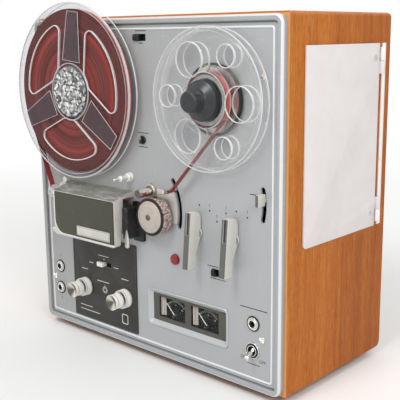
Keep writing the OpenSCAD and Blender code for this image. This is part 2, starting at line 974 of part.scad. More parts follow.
// Black bracket left of the roller
bracket_x = capstan_at[0] - 23.5;
bracket_h = capstan_at[1] - 52.5;
bracket_l = 40;
bracket_t = 3;
shield_t = 1;

module pinch_bracket() {
    color("black") {
        layer(deck_y - bracket_t, deck_y)
            round_rect(bracket_x, bracket_h, bracket_x + 15, bracket_h + bracket_l, 2);
        layer(tape_front - 4, deck_y - bracket_t)
            round_rect(bracket_x, bracket_h + 4, bracket_x + 7, bracket_h + bracket_l - 4, 1.5);
    }
    // Thin plate on the panel behind the roller
    color("darkgray")
        layer(deck_y - shield_t, deck_y)
            difference() {
                round_rect(roller_at[0] - 4.3, roller_at[1] - 6.3, roller_at[0] + 22.5,
                    roller_at[1] + 25.2, 1);
                polygon(slot_points(pinch_pivot, norm(roller_at - pinch_pivot), 92 - 3,
                    92 + pinch_swing + 4, slot_w));
                round_hole(capstan_at, washer_r + 0.5);
                polygon(slot_points(tension_pivot, tension_r, tension_rest - tension_low - 2,
                    tension_rest + tension_high + 2, slot_w + 0.6));
            }
}

module pinch_arm() {
    color("silver")
        union() {
            layer(pinch_y, pinch_y + pinch_t) {
                round_hole(pinch_pivot, 7);
                round_hole(roller_at, 5);
                polygon(strip_wide([pinch_pivot, roller_at], 9));
            }
            rod(pinch_pivot, 3, pinch_y, chassis_back + 1);
            rod(roller_at, stud_r, roller_front - 1, pinch_y + 0.5);
        }
}

module pinch_roller() {
    // Rubber tyre
    color("dimgray")
        difference() {
            rod(roller_at, roller_r, roller_front, roller_back);
            rod(roller_at, 11, roller_front - 1, roller_back + 1);
            rod(roller_at, 16, roller_front - 1, roller_front + 0.8);
        }
    // Metal hub with the silver cap in front
    color("silver")
        difference() {
            union() {
                rod(roller_at, 11, roller_front + 1, roller_back);
                rod(roller_at, 15.7, roller_front - 0.4, roller_front + 0.8);
                rod(roller_at, 11, roller_front + 0.7, roller_front + 1.1);
            }
            rod(roller_at, stud_r + fit, roller_front - 2, roller_back + 1);
        }
}

module tension_arm() {
    elbow = polar(tension_pivot, tension_elbow_r, tension_elbow_a);
    color("silver")
        union() {
            layer(tension_y, tension_y + tension_t) {
                round_hole(tension_pivot, 6);
                round_hole(elbow, 3);
                round_hole(pin_at, 3.4);
                polygon(strip_wide([tension_pivot, elbow], 6));
                polygon(strip_wide([elbow, pin_at], 6));
            }
            rod(tension_pivot, 3, tension_y, chassis_back + 1);
            rod(pin_at, pin_r, pin_front, tension_y + 0.5);
        }
}

// Straight bar between two points, as an outline
function strip_wide(p, w) = concat(strip_side(p, w / 2), reversed(strip_side(p, -w / 2)));

// Levers and switches

module lever(at) {
    top = at[1] + lever_up;
    low = at[1] - lever_down;
    back = deck_y - lever_gap;
    front_top = deck_y - 14.5;
    front_low = deck_y - 19.5;
    low_back = deck_y - 8;
    difference() {
        across(at[0] - lever_w / 2, at[0] + lever_w / 2)
            polygon(concat(
                [[front_low, low], [front_top, top]],
                arc([back - 6, top - 6], 6, 90, 0, 6),
                [[back, at[1] - 3], [low_back, at[1] - 18], [low_back - 0.6, low]]));
        // Groove in the upper half of the front face
        across(at[0] - 1.3, at[0] + 1.3)
            polygon([[front_top - 3, top + 1], [front_top + 0.6, top + 1],
                [front_top - 1.2, at[1]], [front_top - 6, at[1]]]);
    }
    rod(at, shaft_r + 1, back - 2, back);
    rod(at, shaft_r, back - 1, lever_end);
}

module left_lever() {
    color("lightgray")
        lever(left_lever_at);
}

module right_lever() {
    color("lightgray")
        lever(right_lever_at);
}

module record_button() {
    color("firebrick")
        union() {
            rod(button_at, button_r, deck_y - 3.5, panel_back + 1);
            rod(button_at, 2, panel_back, chassis_back + 1);
        }
}

// Coil spring around the stem of the record button, as one helix
spring_wire = 0.9;
spring_turns = 4;
spring_r = 3.4;
function ring(c, e1, e2, r, n) = [for (k = [0:n - 1]) c + r * (cos(360 * k / n) * e1 + sin(360 * k / n) * e2)];
module helix(at, y0, y1, r, turns, wire) {
    steps = turns * 12;
    sides = 6;
    pts = [for (i = [0:steps])
        let (a = 360 * turns * i / steps)
        each ring([at[0] + r * cos(a), y0 + (y1 - y0) * i / steps, up(at[1]) + r * sin(a)],
            [cos(a), 0, sin(a)], [0, 1, 0], wire / 2, sides)];
    walls = [for (i = [0:steps - 1], k = [0:sides - 1])
        let (a = i * sides + k, b = i * sides + (k + 1) % sides)
        each [[a, b, b + sides], [a, b + sides, a + sides]]];
    start = [for (k = [1:sides - 2]) [0, k + 1, k]];
    last = steps * sides;
    end = [for (k = [1:sides - 2]) [last, last + k, last + k + 1]];
    polyhedron(points = pts, faces = concat(walls, start, end));
}

module button_spring() {
    y0 = panel_back + 1 + button_travel + gap + spring_wire / 2;
    y1 = chassis_y - gap - spring_wire / 2;
    color("silver")
        helix(button_at, y0, y1, spring_r, spring_turns, spring_wire);
}

module stop_lever() {
    tip = polar(stop_pivot, stop_r, stop_rest);
    arm_y = panel_back + 3;
    color("lightgray")
        union() {
            layer(arm_y, arm_y + 2) {
                round_hole(stop_pivot, 6);
                polygon(strip_wide([stop_pivot, tip], 7));
                round_hole(tip, 3.5);
            }
            rod(stop_pivot, 3, arm_y, chassis_back + 1);
            block(tip[0] - stop_tab_w / 2, deck_y - 1, tip[1] - 1.9, tip[0] + stop_tab_w / 2, arm_y + 1,
                  tip[1] + 1.9);
            block(tip[0] - stop_tab_w / 2, deck_y - stop_tab_l, tip[1] - 5.2, tip[0] + stop_tab_w / 2,
                  deck_y - 0.6, tip[1] + 5.2);
        }
}

// A rear level knob with its hollow shaft
module rear_knob(x) {
    at = [x, level_h];
    color("silver")
        difference() {
            union() {
                rod(at, knob_r, knob_mid, deck_y - ctl_t - gap);
                rod(at, 5, deck_y - ctl_t - 1, panel_back + 4);
            }
            rod(at, 3 + fit, knob_mid - 1, panel_back + 5);
        }
}

// A front level knob with its solid shaft
module front_knob(x) {
    at = [x, level_h];
    color("silver")
        union() {
            rod(at, knob_front_r, knob_front, knob_mid - gap);
            rod(at, 3, knob_mid - 1, knob_end);
        }
}

module speed_switch() {
    color("black")
        layer(deck_y - 2, panel_back + 1)
            rect_at([speed_at[0] - speed_travel / 2, speed_at[1]], 8, 5.6);
}

module mode_switch() {
    color("white")
        layer(deck_y - ctl_t - 3, panel_back + 1)
            rect_at([mode_at[0] - mode_travel / 2, mode_at[1]], mode_knob_w, 5);
}

module shutoff_switch() {
    color("black")
        layer(deck_y - 2.5, panel_back + 1)
            rect_at([shutoff_at[0] - 1.8, shutoff_at[1]], 4, 6.6);
}

module selector_switch() {
    color("black")
        union() {
            layer(deck_y - 4, deck_y - gap)
                intersection() {
                    round_hole(selector_at, 3.8);
                    rect_at(selector_at, 5, 8);
                }
            rod(selector_at, 3, deck_y - 1, panel_back + 8);
        }
}

module power_toggle() {
    color("silver")
        translate([toggle_at[0], deck_y + 1, up(toggle_at[1])]) {
            rotate([90 + toggle_tilt, 0, 0]) {
                cylinder(r1 = 1.6, r2 = 2.8, h = toggle_lever_l, $fn = 32);
                sphere(r = toggle_ball_r, $fn = 32);
            }
            // Pivot pin
            rotate([0, 90, 0])
                cylinder(r = toggle_pin_r, h = 2 * toggle_pin_l, center = true, $fn = 32);
        }
}

module button_body(at, w, h, depth) {
    layer(panel_back + 1.3, panel_back + depth)
        rect_at(at, w, h);
    for (side = [-1, 1])
        layer(panel_back, panel_back + 1.4)
            rect_at(at + [side * (w / 2 - 1), 0], 2, h);
}

module control_bodies() {
    color("silver") {
        button_body(speed_at, speed_travel + 16, 9, 9);
        button_body(mode_at, mode_knob_w + mode_travel + 6, 12, 9);
        button_body(shutoff_at, 16, 12, 9);
        difference() {
            rod(selector_at, 8, panel_back, panel_back + 9);
            rod(selector_at, 3 + fit, panel_back - 1, panel_back + 8.3);
        }
        for (x = level_xs)
            difference() {
                rod([x, level_h], 12, panel_back, panel_back + 20);
                rod([x, level_h], 5 + fit, panel_back - 1, panel_back + 4.3);
                rod([x, level_h], 3 + fit, panel_back + 4, knob_end + gap);
            }
        // Body and bushing of the power switch, whose walls carry the lever's pivot pin
        difference() {
            union() {
                layer(panel_back, panel_back + 18)
                    rect_at(toggle_at, 13, 20);
                rod(toggle_at, 4.4, deck_y - 2, panel_back + 1);
                rod(toggle_at, 6.5, deck_y - 1.2, deck_y);
            }
            rod(toggle_at, toggle_ball_r + 0.6, deck_y - 3, deck_y + 1 + toggle_ball_r + gap);
            translate([toggle_at[0], deck_y + 1, up(toggle_at[1])])
                rotate([0, 90, 0])
                    cylinder(r = toggle_pin_r + fit, h = 10, center = true, $fn = 32);
        }
    }
}

module jack_sockets() {
    color("silver")
        for (at = concat(mic_at, [phones_at]))
            difference() {
                union() {
                    rod(at, jack_r, deck_y - 2, deck_y);
                    rod(at, jack_r - 1.6, deck_y - 2.6, panel_back + 1);
                    rod(at, jack_r + 1, panel_back, panel_back + 20);
                }
                rod(at, 3.2, deck_y - 4, panel_back + 17);
            }
}

// Meters

module meter_bezel() {
    floor_y = deck_y + bezel_depth;
    low_w = bezel_w - 2 * bezel_slope;
    low_h = bezel_h - 2 * bezel_slope;
    lip_t = 0.6;
    color("silver")
        difference() {
            union() {
                layer(deck_y - lip_t, deck_y)
                    rect_at(bezel_at, bezel_w + 2 * lip_t, bezel_h + 2 * lip_t);
                layer(deck_y, floor_y + 1)
                    rect_at(bezel_at, bezel_w - 2 * gap, bezel_h - 2 * gap);
            }
            // Sloped sides between the lip and the floor
            hull() {
                layer(deck_y - lip_t - 0.2, deck_y - lip_t)
                    rect_at(bezel_at, bezel_w - 3 * lip_t, bezel_h - 3 * lip_t);
                layer(floor_y - 0.1, floor_y)
                    rect_at(bezel_at, low_w, low_h);
            }
            for (x = window_at)
                layer(floor_y - 1, floor_y + 2)
                    rect_at([x, window_mid], window_w, window_h);
        }
}

module meter_windows() {
    color("lightcyan")
        for (x = window_at)
            layer(deck_y + bezel_depth + 0.1, deck_y + bezel_depth + 1)
                rect_at([x, window_mid], window_w - 2 * snug, window_h - 2 * snug);
}

module meter_housings() {
    front = deck_y + bezel_depth + 1;
    color("black")
        for (x = window_at)
            difference() {
                layer(front, meter_back)
                    rect_at([x, window_mid], window_w + 4, window_h + 4);
                layer(front - 1, dial_y)
                    rect_at([x, window_mid], window_w - 1, window_h - 1);
                rod([x, needle_low], 1 + fit, dial_y - 1, dial_y + 6);
            }
}

module needle(x) {
    at = [x, needle_low];
    color("white")
        union() {
            rod(at, 1.8, dial_y - 2.2, dial_y - 0.6);
            rod(at, 1, dial_y - 2, dial_y + 5);
            translate([x, dial_y - 1.4, up(needle_low)])
                rotate([0, needle_rest, 0])
                    translate([-0.4, -0.3, 0])
                        cube([0.8, 0.6, needle_len]);
        }
}

// Side door and terminals

module side_door() {
    y0 = hinge_y - door_d;
    corner = 4;
    color("whitesmoke")
        difference() {
            union() {
                across(door_x, door_x + door_t)
                    difference() {
                        translate([y0, door_low])
                            square([door_d - knuckle_r - gap, door_h]);
                        difference() {
                            translate([y0 - 1, door_low - 1])
                                square([corner + 1, corner + 1]);
                            translate([y0 + corner, door_low + corner])
                                circle(r = corner, $fn = 48);
                        }
                    }
                for (side = [0, 1])
                    hinge_knuckle(knuckle_base(side), true);
            }
            translate([hinge_x, hinge_y, up(door_low) - 1])
                cylinder(r = hinge_r + fit, h = door_h + 2, $fn = 48);
        }
}

hinge_x = door_x + knuckle_r + 0.2;

// Lowest height of the door's knuckle near the bottom, 0, or the top, 1
function knuckle_base(side) =
    side == 0 ? door_low + 4 + knuckle_l + gap : door_low + door_h - 4 - 2 * knuckle_l - gap;

module hinge_knuckle(h, to_door) {
    lug = knuckle_r + 0.8 + (to_door ? gap : 0);
    translate([hinge_x, hinge_y, up(h)]) {
        cylinder(r = knuckle_r, h = knuckle_l, $fn = 48);
        if (to_door)
            translate([door_x - hinge_x, -lug - 1, 0])
                cube([door_t, lug + 1, knuckle_l]);
        else
            translate([cab_w / 2 - hinge_x, 0, 0])
                cube([1.4, lug, knuckle_l]);
    }
}

module door_hinge() {
    color("silver") {
        difference() {
            union() {
                across(cab_w / 2, cab_w / 2 + 1.4)
                    translate([hinge_y + knuckle_r + 0.4, door_low])
                        square([6, door_h]);
                for (h = [door_low + 4, door_low + door_h - 4 - knuckle_l])
                    hinge_knuckle(h, false);
            }
            translate([hinge_x, hinge_y, up(door_low) - 1])
                cylinder(r = hinge_r, h = door_h + 2, $fn = 48);
        }
        for (h = [door_low + 4, door_low + door_h - 4 - 2 * knuckle_l - gap])
            translate([hinge_x, hinge_y, up(h)])
                cylinder(r = hinge_r, h = 2 * knuckle_l + gap, $fn = 48);
    }
}

module terminal_bay() {
    y0 = bay_mid_y - bay_w / 2;
    y1 = bay_mid_y + bay_w / 2;
    h0 = bay_low;
    h1 = bay_low + bay_h;
    back_x = in_x - bay_depth;
    color("gray") {
        difference() {
            union() {
                block(back_x, y0 + gap, h0 + gap, in_x + 2, y1 - gap, h1 - gap);
                block(in_x - sheet_t, y0 - 6, h0 - 6, in_x, y1 + 6, h1 + 6);
            }
            block(back_x + sheet_t, y0 + gap + sheet_t, h0 + gap + sheet_t, in_x + 3,
                y1 - gap - sheet_t, h1 - gap - sheet_t);
        }
        // Two rows of sockets
        for (i = [0:3], side = [-1, 1])
            terminal(back_x + sheet_t, bay_mid_y + side * 18, h0 + 40 + 22 * i, 4, 9);
    }
    // Mains inlet
    color("black")
        difference() {
            block(back_x + sheet_t, bay_mid_y - 15, h0 + 6, back_x + sheet_t + 12,
                bay_mid_y + 15, h0 + 24);
            block(back_x + sheet_t + 3, bay_mid_y - 11, h0 + 9, back_x + sheet_t + 13,
                bay_mid_y + 11, h0 + 21);
        }
}

module terminal(x, y, h, r, l) {
    translate([x, y, up(h)])
        rotate([0, 90, 0])
            difference() {
                cylinder(r = r, h = l, $fn = 32);
                translate([0, 0, 2])
                    cylinder(r = r / 2.5, h = l, $fn = 32);
            }
}

// Transformer on the floor of the cabinet, with a flange under its core
trafo_w = 66;
trafo_d = 55;
trafo_h = 44;
trafo_flange_t = 3;

module power_transformer() {
    x0 = in_x - 45.5 - trafo_w;
    y0 = -15;
    color("darkslategray") {
        block(x0, y0, floor_h, x0 + trafo_w, y0 + trafo_d, floor_h + trafo_flange_t);
        block(x0 + 5, y0 + 10, floor_h + trafo_flange_t, x0 + trafo_w - 5, y0 + trafo_d - 10,
            floor_h + trafo_h);
    }
}

// Circuit board on four posts, with a row of capacitors and a row of chokes
board_w = 120;
board_d = 85;
board_sheet = 1.6;
board_post_h = 12;

module amplifier_board() {
    x0 = 14.5 - in_x;
    y0 = -40;
    low = floor_h + board_post_h;
    top = low + board_sheet;
    color("darkgreen") {
        block(x0, y0, low, x0 + board_w, y0 + board_d, top);
        for (x = [x0 + 6, x0 + board_w - 6], y = [y0 + 6, y0 + board_d - 6])
            translate([x, y, up(floor_h)])
                cylinder(r = 3, h = board_post_h, $fn = 24);
    }
    color("gray")
        for (i = [0:4])
            translate([x0 + 16 + 22 * i, y0 + board_d - 20, up(top)])
                cylinder(r = 7, h = 24, $fn = 32);
    color("black")
        for (i = [0:3])
            block(x0 + 12 + 28 * i, y0 + 14, top, x0 + 28 + 28 * i, y0 + 30, top + 6.4);
}

cabinet();
feet();
back_cover();
face_rim();
deck_panel();
panel_screws();
control_plate();
chassis();
head_cover();
head_cover_plate();
head_block();
tape_heads();
guide_posts();
tape_run();
tape_loop();
bearing_bushes();
drive_motor();
drive_belt();
pinch_bracket();
meter_bezel();
meter_housings();
meter_windows();
jack_sockets();
control_bodies();
terminal_bay();
power_transformer();
amplifier_board();
door_hinge();
button_spring();
supply_front_flange();
supply_rear_flange();
supply_tape();
supply_spindle();
takeup_front_flange();
takeup_rear_flange();
takeup_tape();
takeup_spindle();
reel_cap();
capstan();
motor_pulley();
guide_roller();
pinch_arm();
pinch_roller();
tension_arm();
left_lever();
right_lever();
record_button();
stop_lever();
needle(window_at[0]);  // needle_left
needle(window_at[1]);  // needle_right
rear_knob(level_xs[0]);  // left_rear_knob
front_knob(level_xs[0]);  // left_front_knob
rear_knob(level_xs[1]);  // right_rear_knob
front_knob(level_xs[1]);  // right_front_knob
speed_switch();
mode_switch();
shutoff_switch();
selector_switch();
power_toggle();
side_door();
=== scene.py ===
import math
import random

import bmesh
import bpy
from mathutils import Matrix, Vector


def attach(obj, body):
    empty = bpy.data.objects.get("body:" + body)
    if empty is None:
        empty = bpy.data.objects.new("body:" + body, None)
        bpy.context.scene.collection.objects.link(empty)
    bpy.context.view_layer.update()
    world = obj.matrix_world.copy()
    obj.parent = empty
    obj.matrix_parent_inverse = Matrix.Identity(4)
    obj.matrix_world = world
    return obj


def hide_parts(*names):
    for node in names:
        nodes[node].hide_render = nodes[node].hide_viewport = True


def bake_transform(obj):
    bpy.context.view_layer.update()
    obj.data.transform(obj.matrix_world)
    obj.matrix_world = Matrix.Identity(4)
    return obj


# Looks of the upright tape recorder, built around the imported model.
# Sizes are in millimetres, as x, y and height above the cabinet's underside.

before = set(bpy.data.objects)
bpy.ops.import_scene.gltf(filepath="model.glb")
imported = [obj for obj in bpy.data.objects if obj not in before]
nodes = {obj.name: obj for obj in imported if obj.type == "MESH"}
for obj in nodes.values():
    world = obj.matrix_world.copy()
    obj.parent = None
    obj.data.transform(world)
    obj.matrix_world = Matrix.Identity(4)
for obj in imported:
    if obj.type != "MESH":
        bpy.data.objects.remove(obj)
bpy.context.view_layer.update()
scene = bpy.context.scene
mm = 0.001
footHeight = 6
print("frame loaded:", len(nodes), "nodes")

# Planes of the front as y, and the reels' centres
rimFront, deck, panelBack, board, coverFront = -87.8, -85, -83, -81, -111.5
reelFront, reelBack, tapeFront, tapeBack = -100.3, -89.1, -97.875, -91.525
reelX, reelH = 92.3, 262.7
veneerSeam = 5.8
rayKinds = "Is Camera Ray", "Is Glossy Ray", "Is Transmission Ray"


def spot(x, y, h):
    return Vector((x * mm, y * mm, (h + footHeight) * mm))


def flat(outline, y):
    # An outline of x and height, as places at one y
    return [spot(p[0], y, p[1]) for p in outline]


# Nodes and shader maths

def put(tree, kind, settings=None, inputs=None):
    # A node from its settings, such as a ramp's stops, and the values or links of its sockets
    made = tree.nodes.new(kind)
    for key, value in (settings or {}).items():
        if key == "stops":
            ramp = made.color_ramp
            while len(ramp.elements) < len(value):
                ramp.elements.new(0.5)
            for element, (place, shade) in zip(ramp.elements, value):
                element.position = place
                element.color = (*shade, 1)
        else:
            setattr(made, key, value)
    for key, value in (inputs or {}).items():
        if isinstance(value, bpy.types.NodeSocket):
            tree.links.new(value, made.inputs[key])
        else:
            made.inputs[key].default_value = value
    return made.outputs


class Wire:
    # A socket that can be added, multiplied and so on, each step being a Math node
    def __init__(self, finish, socket):
        self.finish, self.socket = finish, socket

    def step(self, operation, other=0.0):
        return self.finish.node("Math", {"operation": operation}, {0: self, 1: other})

    def __add__(self, other):
        return self.step("ADD", other)

    def __sub__(self, other):
        return self.step("SUBTRACT", other)

    def __rsub__(self, other):
        return self.finish.node("Math", {"operation": "SUBTRACT"}, {0: other, 1: self})

    def __mul__(self, other):
        return self.step("MULTIPLY", other)

    def __pow__(self, other):
        return self.step("POWER", other)

    def __gt__(self, other):
        return self.step("GREATER_THAN", other)

    __radd__ = __add__
    __rmul__ = __mul__


class Finish:
    # A material whose shader is reached by socket name
    def __init__(self, name, **fixed):
        self.material = bpy.data.materials.new(name)
        self.material.use_nodes = True
        self.tree = self.material.node_tree
        self.shader = next(n for n in self.tree.nodes if n.type == "BSDF_PRINCIPLED")
        for key, value in fixed.items():
            self.shader.inputs[key.replace("_", " ")].default_value = value

    def node(self, kind, settings=None, inputs=None, out=0):
        given = {key: getattr(value, "socket", value) for key, value in (inputs or {}).items()}
        return Wire(self, put(self.tree, "ShaderNode" + kind, settings, given)[out])

    def wire(self, colour, roughness=None, bump=None, **links):
        # bump is a height, its strength and its depth in metres
        links.update(Base_Color=colour, Roughness=roughness)
        if bump:
            links["Normal"] = self.node("Bump", {}, dict(zip(("Height", "Strength", "Distance"), bump)))
        for key, value in links.items():
            if value:
                self.tree.links.new(value.socket, self.shader.inputs[key.replace("_", " ")])
        return self.material

    def place(self, stretch=(1, 1, 1), turn=(0, 0, 0)):
        return self.node("Mapping", {}, {"Vector": self.node("TexCoord", out="Object"), "Rotation": turn,
                                         "Scale": stretch})

    def parts(self, vector):
        outputs = self.node("SeparateXYZ", {}, {0: vector}).socket.node.outputs
        return [Wire(self, outputs[i]) for i in range(3)]

    def here(self):
        return self.parts(self.node("TexCoord", out="Object"))

    def facing(self):
        # The surface's own direction, as x, y and z
        return self.parts(self.node("NewGeometry", out="Normal"))

    def join(self, x, y, z):
        return self.node("CombineXYZ", {}, {0: x, 1: y, 2: z})

    def noise(self, scale, detail=3.0, rough=0.55, vector=None):
        return self.node("TexNoise", {}, {"Vector": vector or self.place(), "Scale": scale, "Detail": detail,
                                          "Roughness": rough})

    def rings(self, far, scale, detail=1, rough=0.5, lift=0.5):
        # Noise that changes with the distance from an axis alone
        return self.noise(1, detail, rough, self.join(far * scale, 0.5, lift))

    def cells(self, scale, out="Distance"):
        return self.node("TexVoronoi", {}, {"Vector": self.place(), "Scale": scale}, out)

    def ramp(self, value, *stops):
        return self.node("ValToRGB", {"stops": stops}, {0: value})

    def level(self, value, low, high):
        return self.node("MapRange", {}, {"Value": value, "From Min": low, "From Max": high})

    def patches(self, scale, detail, rough, low, high, vector=None):
        return self.level(self.noise(scale, detail, rough, vector), low, high)

    def mix(self, factor, a, b):
        a, b = ((*side, 1) if isinstance(side, tuple) else side for side in (a, b))
        return self.node("Mix", {"data_type": "RGBA"}, {0: factor, 6: a, 7: b}, 2)

    def radius(self, x, h, mirrored=False):
        # Distance in metres from an axis along y, and its two parts
        px, py, pz = self.here()
        dx, dz = (px.step("ABSOLUTE") if mirrored else px) - x * mm, pz - (h + footHeight) * mm
        return (dx * dx + dz * dz).step("SQRT"), dx, dz


def tone(*rgb):
    # A colour as it looks on a screen, 0 to 255, as the shader's linear values
    return tuple(c / 3294.6 if c <= 10 else ((c / 255 + 0.055) / 1.055) ** 2.4 for c in rgb)


def scaled(colour, share):
    return tuple(min(1, c * share) for c in colour)


def scuffed(finish, amount, scale):
    # Thin, short, crossing scratches, as a mask
    one = finish.patches(1, 2, 0.5, 0.66, 0.72, finish.place((scale * 9, scale, scale), (0, 0.5, 0.3)))
    two = finish.patches(1, 2, 0.5, 0.67, 0.73, finish.place((scale, scale, scale * 11), (0.2, -0.4, 0)))
    return one * amount + two * amount


# Finishes

def metalFinish(name, rgb, rough, grain, dirt, metallic=1.0):
    # Bright metal with fine turning marks, dulled here and there
    f = Finish(name, Metallic=metallic)
    spots = f.patches(90, 4, 0.6, 0.52, 0.75)
    fine = f.noise(1400, 2, 0.5)
    return f.wire(f.mix(spots * dirt, tone(*rgb), (0.24, 0.2, 0.15)),
                  spots * 0.18 + fine * grain + (rough - grain / 2), (fine, 0.08, 0.0001))


def plasticFinish(name, rgb, rough, grain=900, depth=0.00008, wear=0.08, worn=None, coat=0.0, specular=0.5):
    # Moulded plastic or rubber: fine grain, faint cloudiness and rubbed patches
    f = Finish(name, Coat_Weight=coat, Specular_IOR_Level=specular)
    cloud = f.patches(45, 4, 0.6, 0.35, 0.7)
    fine = f.noise(grain, 2, 0.6)
    rubbed = f.patches(210, 5, 0.7, 0.58, 0.74)
    clouded = f.mix(cloud * 0.16, tone(*rgb), scaled(tone(*rgb), 0.6))
    return f.wire(f.mix(rubbed * wear, clouded, tone(*worn) if worn else (0.5, 0.5, 0.48)),
                  cloud * 0.12 + fine * 0.1 + (rough - 0.1), (fine, 0.25, depth))


def panelFinish(name, rgb, lowerLeftShade, rough):
    # Satin paint on sheet metal: slightly cloudy and rubbed, with painted shade that makes it darker and
    # warmer towards the lower left
    f = Finish(name, Metallic=0.2)
    px, py, pz = f.here()
    cloud = f.noise(7, 3, 0.5)
    fine = f.noise(900, 2, 0.5)
    colour = tone(*rgb)
    # The mask grows towards the lower left, where the paint takes the painted shade colour
    side = f.level(px * 0.8 + pz * -0.5 + cloud * 0.12, 0.0, -0.26)
    base = f.mix(side, colour, tone(*lowerLeftShade))
    base = f.mix(f.level(cloud, 0.35, 0.7) * 0.10, base, scaled(colour, 0.75))
    marks = scuffed(f, 0.35, 40)
    base = f.mix(marks * 0.35, base, scaled(colour, 1.5))
    specks = f.level(f.cells(120), 0.055, 0.03) * f.patches(25, 3, 0.55, 0.55, 0.65)
    base = f.mix(specks * 0.35, base, (0.12, 0.1, 0.08))
    return f.wire(base, fine * 0.08 + marks * 0.12 + (rough - 0.04), (fine, 0.12, 0.00006))


def brushedFinish(name, rgb, worn, metallic, rough, wearAmount, marksAmount=0.5):
    # Brushed plate with long fine lines, scratches and worn spots
    f = Finish(name, Metallic=metallic)
    lines = f.noise(1, 2, 0.6, f.place((30, 1500, 1500)))
    patches = f.patches(60, 6, 0.7, 0.55, 0.72) * wearAmount
    marks = scuffed(f, 0.6, 55) * marksAmount
    colour = tone(*rgb)
    base = f.mix(lines * 0.35, colour, scaled(colour, 0.62))
    base = f.mix(f.patches(16, 4, 0.6, 0.4, 0.65) * 0.2, base, scaled(colour, 1.4))
    base = f.mix(patches * 0.5 + marks * 0.6, base, tone(*worn))
    return f.wire(base, lines * 0.12 + patches * 0.15 + (rough - 0.06),
                  (lines * 0.6 + marks, 0.16, 0.00008))


def clearFinish(name, colour, alpha, rough, metallic, haze, hazeTo, coat=0.0):
    # Clear plastic, hazy with fine scratches
    f = Finish(name, Metallic=metallic, Coat_Weight=coat, IOR=1.49)
    cloud = f.patches(30, 4, 0.6, 0.45, 0.7)
    marks = scuffed(f, 0.5, 90)
    return f.wire(f.mix(cloud * 0.1, colour, scaled(colour, 0.9)), marks * 0.2 + cloud * 0.05 + rough,
                  (f.noise(220, 3, 0.5), 0.06, 0.0002), Alpha=cloud * haze + marks * hazeTo + alpha)


def veneerFinish():
    # Upright grain, which runs sideways on the top and bottom
    f = Finish("veneer", Specular_IOR_Level=0.14)
    lying = f.facing()[2].step("ABSOLUTE") > 0.7
    px, py, pz = f.here()
    bend = f.noise(9, 2, 0.5) * 0.006
    along = f.mix(lying, f.join(px * 0.6, py + bend, pz * 0.035), f.join(px * 0.035, py + bend, pz * 0.6))
    broad = f.noise(26, 3, 0.55, along)
    bands = f.noise(150, 4, 0.6, along)
    lines = f.noise(620, 3, 0.6, along)
    taller = f.node("VectorMath", {"operation": "MULTIPLY"}, {0: along, 1: (1, 1, 2.5)})
    pores = f.noise(1500, 2, 0.7, taller)
    flecks = f.level(pores, 0.54, 0.66) * 0.5
    colour = f.ramp(broad * 0.45 + bands * 0.35 + lines * 0.2, (0.3, (0.22, 0.048, 0.006)),
                    (0.43, (0.35, 0.089, 0.009)), (0.54, (0.43, 0.126, 0.014)), (0.7, (0.54, 0.19, 0.03)))
    colour = f.mix(flecks, colour, (0.16, 0.042, 0.01))
    colour = f.mix(f.patches(900, 3, 0.7, 0.55, 0.7, along) * 0.42, colour, (0.72, 0.36, 0.13))
    # One leaf of veneer ends behind the door, and the next one is darker and more streaked
    joinY = veneerSeam * mm
    darker = f.level(py, joinY, joinY + 0.0006) * (1 - lying) * f.level(pz, 0.14, 0.13)
    streaks = f.patches(70, 3, 0.6, 0.4, 0.66, along)
    colour = f.mix(darker * (streaks * 0.4 + 0.12), colour, (0.2, 0.05, 0.011))
    seam = f.level((py - joinY).step("ABSOLUTE"), 0.0012, 0.0002) * (1 - lying) * f.level(pz, 0.15, 0.13)
    colour = f.mix(seam * 0.45, colour, (0.16, 0.04, 0.01))
    colour = f.mix(f.level(py, -0.0798, -0.0806) * 0.55, colour, (0.7, 0.38, 0.16))
    return f.wire(colour, 0.62 - lines * 0.28 + flecks * 0.3, (lines * 0.4 + pores * 0.6, 0.22, 0.00015))


def hardboardFinish():
    f = Finish("hardboard")
    fibres = f.noise(1, 5, 0.7, f.place((260, 260, 620), (0, 0.4, 0)))
    colour = f.ramp(fibres * 0.6 + f.noise(14, 3, 0.5) * 0.4, (0.35, tone(92, 62, 40)),
                    (0.5, tone(128, 90, 60)), (0.66, tone(158, 118, 84)))
    return f.wire(colour, 0.95 - fibres * 0.25, (f.cells(700) * 0.5 + fibres, 0.4, 0.0003))


def tapeFinish():
    # Magnetic tape: rings on the sides of a winding; its edge painted lighter and pinker, a painted
    # highlight
    f = Finish("magnetic tape", Specular_IOR_Level=0.3)
    far = f.radius(reelX, reelH, mirrored=True)[0]
    rings, wide = f.rings(far, 900, 3, 0.7), f.rings(far, 110, 2, lift=3.5)
    side = f.level(f.facing()[1].step("ABSOLUTE"), 0.35, 0.65)
    face = f.ramp(rings * 0.45 + wide * 0.55, (0.36, tone(56, 19, 15)), (0.5, tone(92, 32, 26)),
                  (0.68, tone(138, 48, 42)))
    dust = f.patches(300, 4, 0.7, 0.6, 0.75) * 0.08
    # Faces on the winding's edge take the light pink colour, a painted highlight
    return f.wire(f.mix(side, tone(186, 92, 88), f.mix(dust, face, tone(190, 150, 140))),
                  0.34 + rings * 0.1 + dust, (rings * side, 0.3, 0.0002))


def paintedGlintFinish():
    # The moulded hub: its many facets painted from dark to bright cell by cell, as painted glints
    f = Finish("hub facets with painted glints", Metallic=0.2, Coat_Weight=0.3)
    cut = f.parts(f.cells(430, "Color"))[0] * 0.7 + f.noise(90, 3, 0.6) * 0.4
    small = f.cells(900)
    colour = f.ramp(cut, (0.18, tone(44, 42, 44)), (0.4, tone(104, 102, 104)), (0.62, tone(158, 158, 158)),
                    (0.84, tone(232, 232, 230)))
    return f.wire(colour, small * 0.2 + 0.1, (cut + small * 0.5, 0.9, 0.0012))


